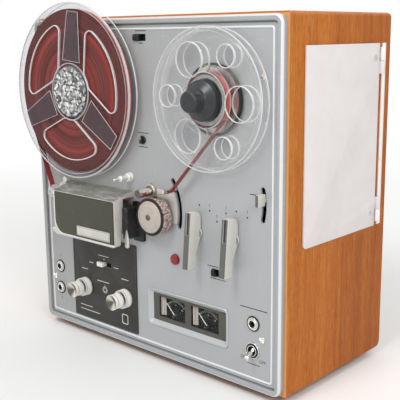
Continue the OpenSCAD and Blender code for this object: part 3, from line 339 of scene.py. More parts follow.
def coverFinish():
    # Grey metal with long scratches, scuffed most on top; the top is painted darker than the sides, as
    # painted shade
    f = Finish("cover metal", Metallic=0.2)
    top = f.level(f.facing()[2], 0.5, 0.9)
    lines = f.noise(1, 2, 0.6, f.place((24, 900, 900)))
    cloud = f.patches(22, 5, 0.65, 0.35, 0.7)
    rubs = f.patches(85, 6, 0.75, 0.5, 0.68, f.place((0.5, 1.4, 1)))
    marks = scuffed(f, 0.7, 50)
    # Upward faces take the darker greys, painted shade, and the sides the lighter ones
    base = f.mix(top, f.mix(cloud, tone(192, 189, 182), tone(206, 203, 197)),
                 f.mix(cloud, tone(112, 112, 104), tone(140, 140, 132)))
    base = f.mix(rubs * (top * 0.5 + 0.15), base, tone(214, 214, 208))
    base = f.mix(f.patches(130, 5, 0.7, 0.6, 0.72) * (top * 0.45 + 0.1), base, tone(92, 88, 78))
    return f.wire(f.mix(marks * 0.5, base, tone(226, 226, 222)), lines * 0.14 + rubs * 0.16 + 0.3,
                  (rubs + marks + lines * 0.4, 0.3, 0.00015))


def rollerFinish():
    # Old rubber, speckled pink and grey where the tape runs
    f = Finish("worn roller rubber")
    side = f.level(f.facing()[1].step("ABSOLUTE"), 0.6, 0.3)
    specks = f.noise(1, 4, 0.75, f.place((560, 330, 560)))
    worn = f.ramp(specks, (0.34, tone(74, 64, 62)), (0.45, tone(132, 112, 108)), (0.54, tone(190, 166, 160)),
                  (0.66, tone(232, 218, 212)))
    return f.wire(f.mix(side, tone(22, 22, 22), worn), 0.85 - specks * 0.15, (specks, 0.5, 0.0004))


def rollerCapFinish(x, h):
    # Metal turned on a lathe: fine rings that draw a radial highlight
    f = Finish("roller cap", Metallic=0.6)
    rings = f.rings(f.radius(x, h)[0], 900)
    dirt = f.patches(160, 4, 0.65, 0.54, 0.72)
    colour = tone(186, 176, 166)
    return f.wire(f.mix(dirt * 0.3, colour, scaled(colour, 0.5)), rings * 0.12 + dirt * 0.15 + 0.29,
                  (rings, 0.35, 0.00012))


def tableFinish():
    # Reel table: black edge, bright ring inside it, grey middle
    f = Finish("reel table")
    far = f.radius(reelX, reelH, mirrored=True)[0]
    ring = f.level(far, 0.0215, 0.0218) * f.level(far, 0.0298, 0.0295)
    bright = (ring + f.level(far, 0.0046, 0.0044)).step("MINIMUM", 1.0)
    fine = f.rings(far, 1800, 2)
    colour = f.mix(bright, f.mix(fine * 0.3, tone(30, 30, 31), tone(46, 46, 46)), tone(190, 186, 178))
    return f.wire(colour, 0.62 - bright * 0.36 + fine * 0.08, (fine, 0.3, 0.0001), Metallic=bright * 0.9)


def switchBodiesFinish():
    # Plated switch bodies, painted black just behind the openings of the panel, as painted shade
    f = Finish("switch bodies", Metallic=0.5)
    # Faces close behind the panel take the black painted shade
    front = f.level(f.here()[1], (board + 1) * mm, (board + 0.5) * mm)
    dull = f.patches(160, 3, 0.6, 0.5, 0.7)
    plated = f.mix(dull * 0.4, tone(168, 170, 168), tone(104, 98, 88))
    return f.wire(f.mix(front, plated, tone(16, 16, 16)), front * 0.3 + dull * 0.15 + 0.4)


def knobFinish(name, x, h):
    # Turned knob: sides painted bright as a painted highlight, and a dished front painted dark as painted
    # shade, with a painted sheen that runs out from its middle in two opposite sectors
    f = Finish(name, Metallic=0.15)
    far, dx, dz = f.radius(x, h)
    rings = f.rings(far, 2200)
    # Painted sheen: two opposite bright sectors around the axis
    paintedSheen = ((dx.step("ARCTAN2", dz) * 2 + 1.2).step("COSINE") * 0.5 + 0.5) ** 2
    front = f.level(f.facing()[1], -0.4, -0.8)
    dirt = f.patches(170, 4, 0.65, 0.54, 0.72)
    # Front faces take the dark painted shade and bright painted sheen, the sides the bright painted
    # highlight
    base = f.mix(front, tone(248, 246, 241), f.mix(paintedSheen, tone(78, 73, 66), tone(214, 209, 200)))
    return f.wire(f.mix(dirt * 0.2, base, tone(120, 112, 100)), rings * 0.1 + dirt * 0.1 + 0.26,
                  (rings, 0.3, 0.00012))


def windowFinish():
    f = Finish("meter window", IOR=1.5, Specular_IOR_Level=0.2)
    smear = f.patches(120, 3, 0.6, 0.5, 0.7)
    return f.wire(f.mix(smear, tone(235, 238, 238), tone(205, 208, 205)), smear * 0.2 + 0.04,
                  Alpha=smear * 0.02 + 0.01)


def circuitFinish():
    # Green board with tracks, and parts that stand on it
    f = Finish("circuit board")
    px, py, pz = f.here()
    tracks = f.level((f.noise(60, 0, 0.5, f.place((1, 0.25, 1))) - 0.5).step("ABSOLUTE"), 0.012, 0.006)
    grime = f.patches(900, 2, 0.55, 0.4, 0.6)
    laminate = f.mix(tracks * 0.7, tone(38, 84, 44), tone(150, 132, 74))
    parts = f.mix(f.level(py, 0.005, 0.0055), tone(46, 44, 42), tone(96, 116, 150))
    base = f.mix(f.level(pz - 0.0312, 0.002, 0.0024), laminate, parts)
    return f.wire(f.mix(grime * 0.1, base, tone(20, 30, 22)), grime * 0.15 + 0.35, (tracks, 0.3, 0.0001))


def transformerFinish():
    # Laminated core with a wound coil between its cheeks
    f = Finish("transformer iron", Metallic=0.4)
    sheets = f.node("TexWave", {"wave_type": "BANDS", "bands_direction": "X"},
                    {"Vector": f.place(), "Scale": 320, "Distortion": 0.4}, 1)
    rust = f.patches(90, 5, 0.7, 0.55, 0.7)
    iron = f.mix(sheets, tone(62, 66, 70), tone(104, 108, 110))
    return f.wire(f.mix(rust * 0.35, iron, tone(96, 62, 40)), rust * 0.3 + 0.42, (sheets, 0.4, 0.0002))


roller = dict(x=20.8, h=148.3, r=18.6, front=-101, capR=15.4, rise=1.9)
knob = dict(h=51.6, left=-96.1, right=-32.7)
finish = {
    "veneer": veneerFinish(), "hardboard": hardboardFinish(), "liner": switchBodiesFinish(), "cover": coverFinish(),
    "roller": rollerFinish(), "rollerCap": rollerCapFinish(roller["x"], roller["h"]), "tape": tapeFinish(),
    "table": tableFinish(), "hub": paintedGlintFinish(), "window": windowFinish(), "board": circuitFinish(),
    "iron": transformerFinish(), "leftKnob": knobFinish("left knob metal", knob["left"], knob["h"]),
    "rightKnob": knobFinish("right knob metal", knob["right"], knob["h"]),
}
paints = {   # name, colour, colour with painted shade at the lower left, roughness
    "rim": ("rim paint", (160, 163, 165), (144, 144, 140), 0.36),
    # The rim edge colour is a painted highlight along the rim's rounded outer edge
    "rimEdge": ("rim edge", (212, 212, 214), (190, 190, 187), 0.3),
    "panel": ("panel paint", (166, 168, 170), (136, 135, 130), 0.42),
    "bezel": ("bezel paint", (178, 181, 182), (176, 176, 172), 0.36),
    # The bead's paint is paler than the panel's, a painted highlight
    "bead": ("bead paint", (222, 224, 226), (196, 196, 192), 0.32),
}
metals = {   # name, colour, roughness, grain, dirt, metallic
    "chrome": ("chrome", (226, 224, 220), 0.12, 0.05, 0.25),
    "steel": ("bright steel", (205, 203, 198), 0.24, 0.08, 0.3),
    "zinc": ("zinc plate", (170, 172, 170), 0.42, 0.12, 0.4),
    "bronze": ("bearing bronze", (134, 116, 92), 0.4, 0.08, 0.5),
    "hinge": ("hinge strip", (236, 232, 228), 0.42, 0.1, 0.15, 0.4),
    "satin": ("satin metal", (226, 224, 218), 0.35, 0.1, 0.2, 0.5),
    "shaftEnd": ("shaft end", (96, 92, 86), 0.4, 0.1, 0.4, 0.7),
    "rust": ("tarnished screw", (120, 100, 92), 0.35, 0.1, 0.6, 0.9),
}
brushed = {   # name, colour, worn colour, metallic, roughness, wear, scratches
    "bezelFloor": ("bezel floor", (80, 78, 72), (116, 115, 108), 0.3, 0.5, 0.3),
    "olive": ("olive plate", (66, 65, 52), (114, 112, 98), 0.3, 0.45, 0.3, 0.35),
    "control": ("control plate", (48, 47, 44), (104, 102, 96), 0.3, 0.42, 0.35, 0.4),
    "nameplate": ("bare nameplate", (202, 199, 190), (232, 230, 224), 0.45, 0.34, 0.3),
}
plastics = {   # name, colour, roughness, grain, its depth, wear, worn colour, coat, specular
    "rubber": ("black rubber", (30, 30, 30), 0.8, 500, 0.0002, 0.2),
    "cast": ("cast grey", (112, 112, 110), 0.6, 400, 0.0002, 0.3),
    "motor": ("motor paint", (70, 74, 78), 0.45, 300, 0.0001, 0.15),
    "black": ("black plastic", (26, 27, 28), 0.42, 700, 0.00006, 0.12),
    "blackMetal": ("black crackle paint", (20, 20, 20), 0.5, 300, 0.0003, 0.2),
    "cap": ("cap plastic", (30, 33, 36), 0.36, 600, 0.00006, 0.15, (110, 112, 112), 0.1),
    "cream": ("lever cream", (200, 199, 192), 0.4, 500, 0.00005, 0.12, (158, 154, 146), 0.1),
    # The lever front colour is painted shade
    "leverFront": ("lever front", (88, 88, 85), 0.4, 500, 0.00005, 0.25, (150, 150, 146)),
    "inlay": ("lever inlay", (226, 226, 222), 0.3, 500, 0.00004, 0.15, (150, 150, 146)),
    "white": ("white plastic", (236, 235, 228), 0.35, 500, 0.00004, 0.12, (190, 184, 170)),
    "red": ("red plastic", (134, 16, 16), 0.32, 500, 0.00005, 0.1, (170, 60, 56), 0.1),
    "print": ("black print", (34, 34, 34), 0.6, 1500, 0.00002, 0.25, (110, 112, 112)),
    "paleprint": ("pale print", (222, 222, 214), 0.6, 1500, 0.00002, 0.3, (150, 150, 140)),
    "needle": ("needle white", (240, 240, 234), 0.4, 700, 0.00002, 0.05),
    "door": ("door enamel", (214, 208, 207), 0.42, 260, 0.00006, 0.1, (190, 184, 182)),
    "dial": ("dial black", (10, 10, 9), 0.8, 700, 0.00004, 0.04, None, 0.0, 0.1),
    # The pale rose colour is a painted reflection
    "rose": ("pale rose edge", (206, 180, 180), 0.4),
    "ribbon": ("tape ribbon", (132, 44, 46), 0.4, 500, 0.00003, 0.1, (180, 96, 92)),
}
clears = {   # name, colour, alpha, roughness, metallic, haze, scratches, coat
    "clear": ("clear plastic", (0.9, 0.9, 0.89), 0.035, 0.1, 0.6, 0.03, 0.25),
    "smoky": ("clear plastic over tape", tone(74, 58, 62), 0.13, 0.2, 0.0, 0.05, 0.2),
    # The edge colour, pale and nearly opaque, is a painted highlight on the clear plastic's edges
    "clearEdge": ("clear plastic edge", tone(226, 226, 226), 0.7, 0.25, 0.0, 0.15, 0.2, 0.3),
    "clearRib": ("clear plastic rib", tone(208, 208, 208), 0.42, 0.2, 0.0, 0.15, 0.3, 0.4),
    "frosted": ("frosted panel", tone(92, 80, 86), 0.34, 0.5, 0.0, 0.1, 0.4),
}
for make, rows in ((panelFinish, paints), (metalFinish, metals), (brushedFinish, brushed),
                   (plasticFinish, plastics), (clearFinish, clears)):
    finish.update({key: make(*row) for key, row in rows.items()})

looksOfNodes = {
    "veneer": "cabinet", "rubber": "feet drive_belt", "hardboard": "back_cover", "rim": "face_rim",
    "panel": "deck_panel", "control": "control_plate", "zinc": "chassis terminal_bay pinch_arm",
    "chrome": "panel_screws guide_posts jack_sockets capstan guide_roller power_toggle",
    "cover": "head_cover", "olive": "head_cover_plate", "cast": "head_block",
    "steel": "tape_heads button_spring tension_arm left_rear_knob left_front_knob right_rear_knob "
             "right_front_knob",
    "tape": "tape_run tape_loop supply_tape takeup_tape", "bronze": "bearing_bushes motor_pulley",
    "motor": "drive_motor", "blackMetal": "pinch_bracket", "bezel": "meter_bezel", "dial": "meter_housings",
    "window": "meter_windows", "liner": "control_bodies", "iron": "power_transformer",
    "board": "amplifier_board", "hinge": "door_hinge",
    "clear": "supply_front_flange supply_rear_flange takeup_front_flange takeup_rear_flange",
    "hub": "supply_spindle", "table": "takeup_spindle", "cap": "reel_cap", "roller": "pinch_roller",
    "cream": "left_lever right_lever stop_lever", "red": "record_button",
    "needle": "needle_left needle_right", "black": "speed_switch shutoff_switch selector_switch",
    "white": "mode_switch", "door": "side_door",
}
for look, names in looksOfNodes.items():
    for name in names.split():
        for slotHere in nodes[name].material_slots:
            slotHere.material = finish[look]
print("finishes ready:", len(finish))


# Meshes

def rounded(corners, closed=True, steps=4):
    # Corners are (u, v) or (u, v, radius)
    out = []
    for i, corner in enumerate(corners):
        here = Vector(corner[:2])
        if len(corner) < 3 or (not closed and i in (0, len(corners) - 1)):
            out.append(here)
            continue
        toLast = Vector(corners[i - 1][:2]) - here
        toNext = Vector(corners[(i + 1) % len(corners)][:2]) - here
        half = toLast.angle(toNext) / 2
        reach = min(corner[2] / math.tan(half), toLast.length * 0.49, toNext.length * 0.49)
        middle = here + (toLast.normalized() + toNext.normalized()).normalized() * reach / math.cos(half)
        first = here + toLast.normalized() * reach - middle
        last = here + toNext.normalized() * reach - middle
        turn = math.atan2(first.x * last.y - first.y * last.x, first.dot(last))
        out += [middle + Matrix.Rotation(turn * k / steps, 2) @ first for k in range(steps + 1)]
    return out


def polar(r, degrees):
    return Vector((r * math.cos(math.radians(degrees)), r * math.sin(math.radians(degrees))))


def circle(x, h, r, count=48):
    return [Vector((x + r * math.cos(math.tau * k / count), h + r * math.sin(math.tau * k / count)))
            for k in range(count)]


def box(x0, h0, x1, h1, r):
    return rounded([(x0, h0, r), (x1, h0, r), (x1, h1, r), (x0, h1, r)])


def boxAround(x, h, wide, high, r, margin=0):
    return box(x - wide / 2 + margin, h - high / 2 + margin, x + wide / 2 - margin, h + high / 2 - margin, r)


def inset(outline, d):
    # Moves a counterclockwise outline inwards by d
    out = []
    for i, here in enumerate(outline):
        a = (here - outline[i - 1]).normalized()
        b = (outline[(i + 1) % len(outline)] - here).normalized()
        side = Vector((-a.y - b.y, a.x + b.x)).normalized()
        out.append(here + side * d / max(0.4, side.dot(Vector((-a.y, a.x)))))
    return out


def counterclockwise(outline):
    area = sum(outline[i - 1].x * p.y - p.x * outline[i - 1].y for i, p in enumerate(outline))
    return list(outline) if area > 0 else list(reversed(outline))


def skin(bm, loops, endless=False, caps=True, look=0):
    # look is one material index, or a list with one for each strip
    rows = [[bm.verts.new(p) for p in loop] for loop in loops]
    pairs = list(zip(rows, rows[1:])) + ([(rows[-1], rows[0])] if endless else [])
    looks = [look] * len(pairs) if isinstance(look, int) else look
    for (low, high), one in zip(pairs, looks):
        for i in range(len(low)):
            j = (i + 1) % len(low)
            bm.faces.new((low[i], low[j], high[j], high[i])).material_index = one
    if caps and not endless:
        bm.faces.new(rows[0]).material_index = looks[0]
        bm.faces.new(rows[-1]).material_index = looks[-1]
    return rows


def fill(bm, edges, facing, look):
    made = bmesh.ops.triangle_fill(bm, use_beauty=True, edges=edges, normal=(0, facing, 0))
    for item in made["geom"]:
        if isinstance(item, bmesh.types.BMFace):
            item.material_index = look


def lathe(bm, x, h, corners, endless=False, count=64, look=0, y0=deck, steps=3):
    # Corners are (radius, distance in front of y0) or have a rounding radius too
    skin(bm, [flat(circle(x, h, max(r, 0.02), count), y0 - v) for r, v in rounded(corners, endless, steps)],
         endless, look=look)


def plate(bm, outline, front, back, holes=(), edge=0.3, steps=2, look=0, edgeLook=None):
    # A flat piece that faces forwards, with rounded edges, from y = front to y = back
    turns = [math.pi / 2 * k / steps for k in range(steps + 1)]
    way = [(edge * (1 - math.sin(a)), edge * (1 - math.cos(a))) for a in turns] if edge else [(0, 0)]
    fronts, backs = [], []
    for line, side in [(outline, 1)] + [(hole, -1) for hole in holes]:
        line = counterclockwise(line)
        loops = [flat(inset(line, side * d), front + depth) for d, depth in way]
        loops += [flat(inset(line, side * d), back - depth) for d, depth in reversed(way)]
        rows = skin(bm, loops, caps=False, look=look if edgeLook is None else edgeLook)
        fronts.append(rows[0])
        backs.append(rows[-1])
    for rows, facing in ((fronts, -1), (backs, 1)):
        fill(bm, [bm.edges.get((row[i - 1], row[i])) for row in rows for i in range(len(row))], facing, look)


def meshFrom(bm, name):
    mesh = bpy.data.meshes.new(name)
    bm.to_mesh(mesh)
    bm.free()
    return mesh


def joined(*meshes):
    # One bmesh of several meshes, whose materials are given again by the caller
    bm = bmesh.new()
    for mesh in meshes:
        bm.from_mesh(mesh)
    for face in bm.faces:
        face.material_index = 0
    return bm


def wear(mesh, looks):
    # Clearing the materials would also set every face back to the first
    for index, look in enumerate([looks] if isinstance(looks, str) else looks):
        if index < len(mesh.materials):
            mesh.materials[index] = finish[look]
        else:
            mesh.materials.append(finish[look])


def piece(name, source, body, slotName, looks, replaced=None, sharpAbove=38):
    # source is a bmesh, or a mesh that is finished but for its shading; without a body it is left unattached
    mesh = source
    if isinstance(source, bmesh.types.BMesh):
        bmesh.ops.remove_doubles(source, verts=source.verts, dist=1e-6)
        bmesh.ops.recalc_face_normals(source, faces=source.faces)
        mesh = meshFrom(source, name)
    mesh.name = name
    wear(mesh, looks)
    # Smooth faces, with every edge sharper than that kept hard
    bm = bmesh.new()
    bm.from_mesh(mesh)
    for face in bm.faces:
        face.smooth = True
    for edge in bm.edges:
        edge.smooth = len(edge.link_faces) == 2 and edge.calc_face_angle(0) < math.radians(sharpAbove)
    bm.to_mesh(mesh)
    bm.free()
    made = helperObject(name, mesh)
    if body:
        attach(made, body)
    if replaced:
        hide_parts(replaced)
    return made


def evaluated(thing):
    graph = bpy.context.evaluated_depsgraph_get()
    graph.update()
    return bpy.data.meshes.new_from_object(thing.evaluated_get(graph))


def helperObject(name, data):
    made = bpy.data.objects.new(name, data)
    scene.collection.objects.link(made)
    return made


def discard(*things):
    for thing in things:
        bpy.data.objects.remove(thing)


def softened(node, width, body, slotName, looks, paint=None, segments=2):
    # A copy of a node with its sharp edges rounded; paint gives the material index of each face
    bm = joined(nodes[node].data)
    bmesh.ops.remove_doubles(bm, verts=bm.verts, dist=2e-6)
    bmesh.ops.dissolve_limit(bm, angle_limit=math.radians(1), verts=bm.verts, edges=bm.edges)
    if paint:
        for face in bm.faces:
            face.material_index = paint(face)
    mesh = meshFrom(bm, node)
    wear(mesh, looks)
    helper = helperObject("softening", mesh)
    bevel = helper.modifiers.new("edges", "BEVEL")
    bevel.width, bevel.segments, bevel.limit_method = width * mm, segments, "ANGLE"
    bevel.angle_limit = math.radians(35)
    result = evaluated(helper)
    discard(helper)
    return piece(node + "_dressed", result, body, slotName, looks, node)


# Geometry node trees

def geometryTree(name, *wanted):
    tree = bpy.data.node_groups.new(name, "GeometryNodeTree")
    for label, kind in (("Geometry", "Geometry"), *wanted, ("Material", "Material")):
        tree.interface.new_socket(label, in_out="INPUT", socket_type="NodeSocket" + kind)
    tree.interface.new_socket("Geometry", in_out="OUTPUT", socket_type="NodeSocketGeometry")
    return tree, tree.nodes.new("NodeGroupInput").outputs


def finishTree(tree, geometry, given):
    real = put(tree, "GeometryNodeRealizeInstances", {}, {"Geometry": geometry})["Geometry"]
    made = put(tree, "GeometryNodeSetMaterial", {}, {"Geometry": real, "Material": given["Material"]})
    tree.links.new(made["Geometry"], tree.nodes.new("NodeGroupOutput").inputs["Geometry"])
    return tree


def makeSpreadTree():
    # Copies of a part on points, its z turned away from a centre, with a random spin where asked
    tree, given = geometryTree("spread parts", ("Part", "Object"), ("Centre", "Vector"), ("Spin", "Float"),
                               ("Seed", "Int"))
    away = put(tree, "ShaderNodeVectorMath", {"operation": "SUBTRACT"},
               {0: put(tree, "GeometryNodeInputPosition")["Position"], 1: given["Centre"]})["Vector"]
    aim = put(tree, "FunctionNodeAlignRotationToVector", {"axis": "Z", "pivot_axis": "Y"},
              {"Vector": away})["Rotation"]
    chance = put(tree, "FunctionNodeRandomValue", {"data_type": "FLOAT"},
                 {2: -1.0, 3: 1.0, "Seed": given["Seed"]})[1]
    spin = put(tree, "ShaderNodeMath", {"operation": "MULTIPLY"}, {0: chance, 1: given["Spin"]})[0]
    angles = put(tree, "ShaderNodeCombineXYZ", {}, {1: spin})[0]
    turned = put(tree, "FunctionNodeRotateRotation", {"rotation_space": "LOCAL"},
                 {0: aim, 1: put(tree, "FunctionNodeEulerToRotation", {}, {0: angles})[0]})[0]
    part = put(tree, "GeometryNodeObjectInfo", {"transform_space": "ORIGINAL"}, {"Object": given["Part"]})
    copies = put(tree, "GeometryNodeInstanceOnPoints", {}, {
        "Points": given["Geometry"], "Instance": part["Geometry"], "Rotation": turned})["Instances"]
    return finishTree(tree, copies, given)


def makeTrimTree():
    # A round bar along a line
    tree, given = geometryTree("trim along a line", ("Radius", "Float"), ("Sides", "Int"))
    bar = put(tree, "GeometryNodeCurvePrimitiveCircle", {"mode": "RADIUS"},
              {"Resolution": given["Sides"], "Radius": given["Radius"]})["Curve"]
    swept = put(tree, "GeometryNodeCurveToMesh", {}, {
        "Curve": given["Geometry"], "Profile Curve": bar, "Fill Caps": True})["Mesh"]
    return finishTree(tree, swept, given)


def grown(data, tree, look, values):
    # The mesh that a tree makes from a mesh of points or a curve
    holder = helperObject("grown", data)
    modifier = holder.modifiers.new("grown", "NODES")
    modifier.node_group = tree
    names = {item.name: item.identifier for item in tree.interface.items_tree if item.in_out == "INPUT"}
    for label, value in {"Material": finish[look], **values}.items():
        modifier[names[label]] = value
    mesh = evaluated(holder)
    holder.modifiers.remove(modifier)
    discard(holder)
    return mesh


spreadTree, trimTree = makeSpreadTree(), makeTrimTree()


def spread(part, points, look, centre, spin=0.0, seed=1):
    mesh = bpy.data.meshes.new("points")
    mesh.from_pydata([tuple(p) for p in points], [], [])
    return grown(mesh, spreadTree, look,
                 {"Part": part, "Centre": tuple(centre), "Spin": spin, "Seed": seed})


def trim(lines, radius, look, sides=8, closed=True):
    # lines is a list of lists of places
    curve = bpy.data.curves.new("line", "CURVE")
    curve.dimensions = "3D"
    for points in lines:
        line = curve.splines.new("POLY")
        line.points.add(len(points) - 1)
        line.use_cyclic_u = closed
        for p, q in zip(line.points, points):
            p.co = (*q, 1)
    return grown(curve, trimTree, look, {"Radius": radius * mm, "Sides": sides})


def solidPart(name, build):
    # A small part at the origin, in metres, for the trees to copy
    bm = bmesh.new()
    build(bm)
    bmesh.ops.recalc_face_normals(bm, faces=bm.faces)
    made = helperObject(name, meshFrom(bm, name))
    made.hide_render = True
    return made


def block(name, *size):
    return solidPart(name, lambda bm: bmesh.ops.create_cube(
        bm, size=1, matrix=Matrix.Diagonal((*(s * mm for s in size), 1))))


def bar(name, section, half, axis):
    # A straight bar along y (axis 1) or z (axis 2), from -half to half
    def place(a, b, reach):
        return Vector((a, reach, b) if axis == 1 else (a, b, reach)) * mm
    return solidPart(name, lambda bm: skin(bm, [[place(a, b, reach) for a, b in section]
                                                for reach in (-half, half)]))


def slottedHead(name, r, rise, slotWide, slotDeep):
    bm = bmesh.new()
    dome = [(0.02, 0), (r, 0), (r, rise * 0.55, rise * 0.4), (0.02, rise)]
    lathe(bm, 0, -footHeight, dome, count=28, y0=0, steps=6)
    bmesh.ops.recalc_face_normals(bm, faces=bm.faces)
    made = helperObject(name, meshFrom(bm, name))
    knife = block("slot", 3 * r, 2 * slotDeep, slotWide)
    knife.data.transform(Matrix.Translation((0, -rise * mm, 0)))
    cut = made.modifiers.new("slot", "BOOLEAN")
    cut.object, cut.operation, cut.solver = knife, "DIFFERENCE", "EXACT"
    result = evaluated(made)
    made.modifiers.remove(cut)
    made.data = result
    discard(knife)
    made.hide_render = True
    return made


def printed(text, size, x, h, y):
    # Lettering as a flat mesh that faces forwards
    curve = bpy.data.curves.new("lettering", "FONT")
    curve.body, curve.size, curve.extrude = text, size * mm, 0.02 * mm
    curve.align_x, curve.align_y = "CENTER", "CENTER"
    curve.resolution_u = 3
    holder = helperObject("lettering", curve)
    mesh = evaluated(holder)
    discard(holder)
    mesh.transform(Matrix.Translation(spot(x, y, h)) @ Matrix.Rotation(math.pi / 2, 4, "X"))
    return mesh


def bars(bm, corners, y):
    # Printed bars and frames, as (left, low, right, high)
    for corner in corners:
        plate(bm, box(*corner, 0.1), y, y + 0.05, edge=0)


# Camera, floor and light

view = dict(at=(0.5526, -0.6070, 0.3254), turn=(78.067, 0.615, 42.501), lens=70.873)
cameraData = bpy.data.cameras.new("camera")
cameraData.lens, cameraData.sensor_width = view["lens"], 36
cameraData.clip_start = 0.01
camera = helperObject("camera", cameraData)
camera.location = view["at"]
camera.rotation_euler = [math.radians(a) for a in view["turn"]]
scene.camera = camera
scene.view_settings.view_transform = "Standard"

studio = dict(floorSize=12, floorTone=(0.8, 0.8, 0.79), worldTone=(0.9, 0.9, 0.89), worldLevel=0.4, fill=0.5,
              white=(1, 1, 1, 1))


def paleFloor():
    # The camera, mirrors and clear pieces see plain white far from the object
    f = Finish("pale floor", Roughness=0.7)
    f.wire(f.mix(f.noise(40, 4) * 0.05, studio["floorTone"], (0.7, 0.7, 0.69)))
    px, py, pz = f.here()
    far = f.level((px * px + py * py).step("SQRT"), 0.45, 1.3)
    outputs = f.node("LightPath").socket.node.outputs
    camera, glossy, through = (Wire(f, outputs[kind]) for kind in rayKinds)
    seen = camera.step("MAXIMUM", glossy).step("MAXIMUM", through)
    glow = f.node("Emission", {}, {"Color": studio["white"], "Strength": 1.0})
    both = f.node("MixShader", {}, {0: seen * far, 1: Wire(f, f.shader.outputs[0]), 2: glow})
    output = next(n for n in f.tree.nodes if n.type == "OUTPUT_MATERIAL")
    f.tree.links.new(both.socket, output.inputs["Surface"])
    return f.material


bm = bmesh.new()
bmesh.ops.create_grid(bm, x_segments=2, y_segments=2, size=studio["floorSize"] / 2)
floorMesh = meshFrom(bm, "floor")
floorMesh.materials.append(paleFloor())
helperObject("floor", floorMesh)

world = bpy.data.worlds.new("studio")
scene.world = world
world.use_nodes = True
sky = world.node_tree
backdrop = sky.nodes["Background"]
backdrop.inputs[0].default_value = (*studio["worldTone"], 1)
backdrop.inputs[1].default_value = studio["worldLevel"]
# White to look at, and by half for what it lights
paths = put(sky, "ShaderNodeLightPath")
seen = studio["fill"]
for kind in rayKinds:
    seen = put(sky, "ShaderNodeMath", {"operation": "MAXIMUM"}, {0: paths[kind], 1: seen})[0]
white = put(sky, "ShaderNodeBackground", {}, {0: studio["white"]})[0]
worldMix = put(sky, "ShaderNodeMixShader", {}, {0: seen, 1: backdrop.outputs[0], 2: white})[0]
sky.links.new(worldMix, sky.nodes["World Output"].inputs[0])

lamps = {   # place, size, watts
    "key lamp": ((0.1, -1.6, 1.9), 0.9, 24),
    "side lamp": ((1.4, -0.8, 1.2), 0.9, 12.5),
    "rear lamp": ((0.3, 2.0, 1.6), 1.8, 14),
}
for name, (place, size, power) in lamps.items():
    lamp = bpy.data.lights.new(name, "AREA")
    lamp.shape, lamp.size, lamp.energy = "DISK", size, power
    holder = helperObject(name, lamp)
    holder.location = place
    holder.rotation_euler = (Vector((0, 0, 0.17)) - Vector(place)).to_track_quat("-Z", "Y").to_euler()
print("camera and light ready")


# Cabinet, rim and panel

rim = dict(halfOut=166.5, low=2, high=335, cornerR=8, band=5.8, edgeR=2.4, innerR=1.3, ledgeIn=12.8)
bead = dict(halfOut=156, low=12.5, high=324.5, width=2.2, cornerR=2.5)
screw = dict(r=3, rise=1.6, slot=0.8, slotDeep=0.9, shaftR=1.4,
             at=[(-152, 51.6), (-150.3, 106.1), (-150.3, 284), (145.7, 51.8), (145.9, 284)])
farUp = 900


def squareLoop(d, y):
    return flat(box(-rim["halfOut"] + d, rim["low"] + d, rim["halfOut"] - d, rim["high"] - d,
                    max(rim["cornerR"] - d, 0.6)), y)


# Its section, as distance inwards and y
ledge = panelBack + 0.02
section = rounded([(0, board), (0, rimFront, rim["edgeR"]), (rim["band"], rimFront, rim["innerR"]),
                   (rim["band"], ledge), (rim["ledgeIn"], ledge), (rim["ledgeIn"], board)], steps=6)
bm = bmesh.new()
# Faces on the rounded outer front edge take the paler second paint, a painted highlight
edges = [1 if max(p.x, q.x) < rim["edgeR"] * 0.9 and q.y < rimFront + 2 else 0
         for p, q in zip(section, section[1:] + section[:1])]
skin(bm, [squareLoop(p.x, p.y) for p in section], endless=True, look=edges)
piece("rim_frame", bm, "deck", "rim_paint", ["rim", "rimEdge"], "face_rim")
# The bead is painted paler than the panel, a painted highlight along it
line = flat(box(-bead["halfOut"], bead["low"], bead["halfOut"], bead["high"], bead["cornerR"]), deck + 0.3)
piece("panel_bead", trim([line], bead["width"] / 2, "bead", 12), "deck", "panel_metal", "bead")

# Screws of the panel: one domed head with a slot, copied by a tree
head = slottedHead("screw", screw["r"], screw["rise"], screw["slot"], screw["slotDeep"])
bm = joined(spread(head, flat(screw["at"], deck), "chrome", spot(0, deck, farUp), spin=1.4, seed=6))
for x, h in screw["at"]:
    lathe(bm, x, h, [(screw["shaftR"], 0.02), (screw["shaftR"], -4)], count=16)
piece("panel_screw_heads", bm, "deck", "chrome", "chrome", "panel_screws")
print("cabinet and panel ready")


# Reels

flangeThick, boreR = 1.7, 4.1
hubDepth, bossR = 7.8, 7
supply = dict(body="supply_reel", x=-reelX, r=88.9, hubR=27, windowOut=70, windowIn=28.8, armHalf=20.5,
              windowR=7, armAngle=83.8)
takeup = dict(body="takeup_reel", x=reelX, r=63.5, hubR=22.2, holeAngle=-2.4, far=38.9, farR=15.3,
              small=45.2, smallR=9.8)


def turned(outline, degrees):
    # Around the middle of the supply reel
    turn = Matrix.Rotation(math.radians(degrees), 2)
    return [turn @ Vector(p) + Vector((supply["x"], reelH)) for p in outline]


def supplyWindows():
    # Openings between the arms: half of one, mirrored and turned
    s, cornerR = supply, supply["windowR"]
    outR, inR = s["windowOut"] - cornerR, s["windowIn"] + cornerR
    outA, inA = (60 - math.degrees(math.asin((s["armHalf"] + cornerR) / r)) for r in (outR, inR))
    half = [polar(s["windowOut"], outA * i / 10) for i in range(11)]
    half += [polar(outR, outA) + polar(cornerR, outA + (150 - outA) * i / 8) for i in range(1, 9)]
    half += [polar(inR, inA) + polar(cornerR, 150 + (inA + 30) * i / 8) for i in range(9)]
    half += [polar(s["windowIn"], inA * (1 - i / 4)) for i in range(1, 5)]
    whole = half + [Vector((p.x, -p.y)) for p in reversed(half[1:-1])]
    return [turned(whole, s["armAngle"] + 60 + 120 * k) for k in range(3)]


def takeupHoles():
    lines = []
    for k in range(3):
        for far, r, start in ((takeup["far"], takeup["farR"], 0), (takeup["small"], takeup["smallR"], 60)):
            middle = polar(far, takeup["holeAngle"] + start + 120 * k)
            lines.append(circle(takeup["x"] + middle.x, reelH + middle.y, r, 44))
    return lines


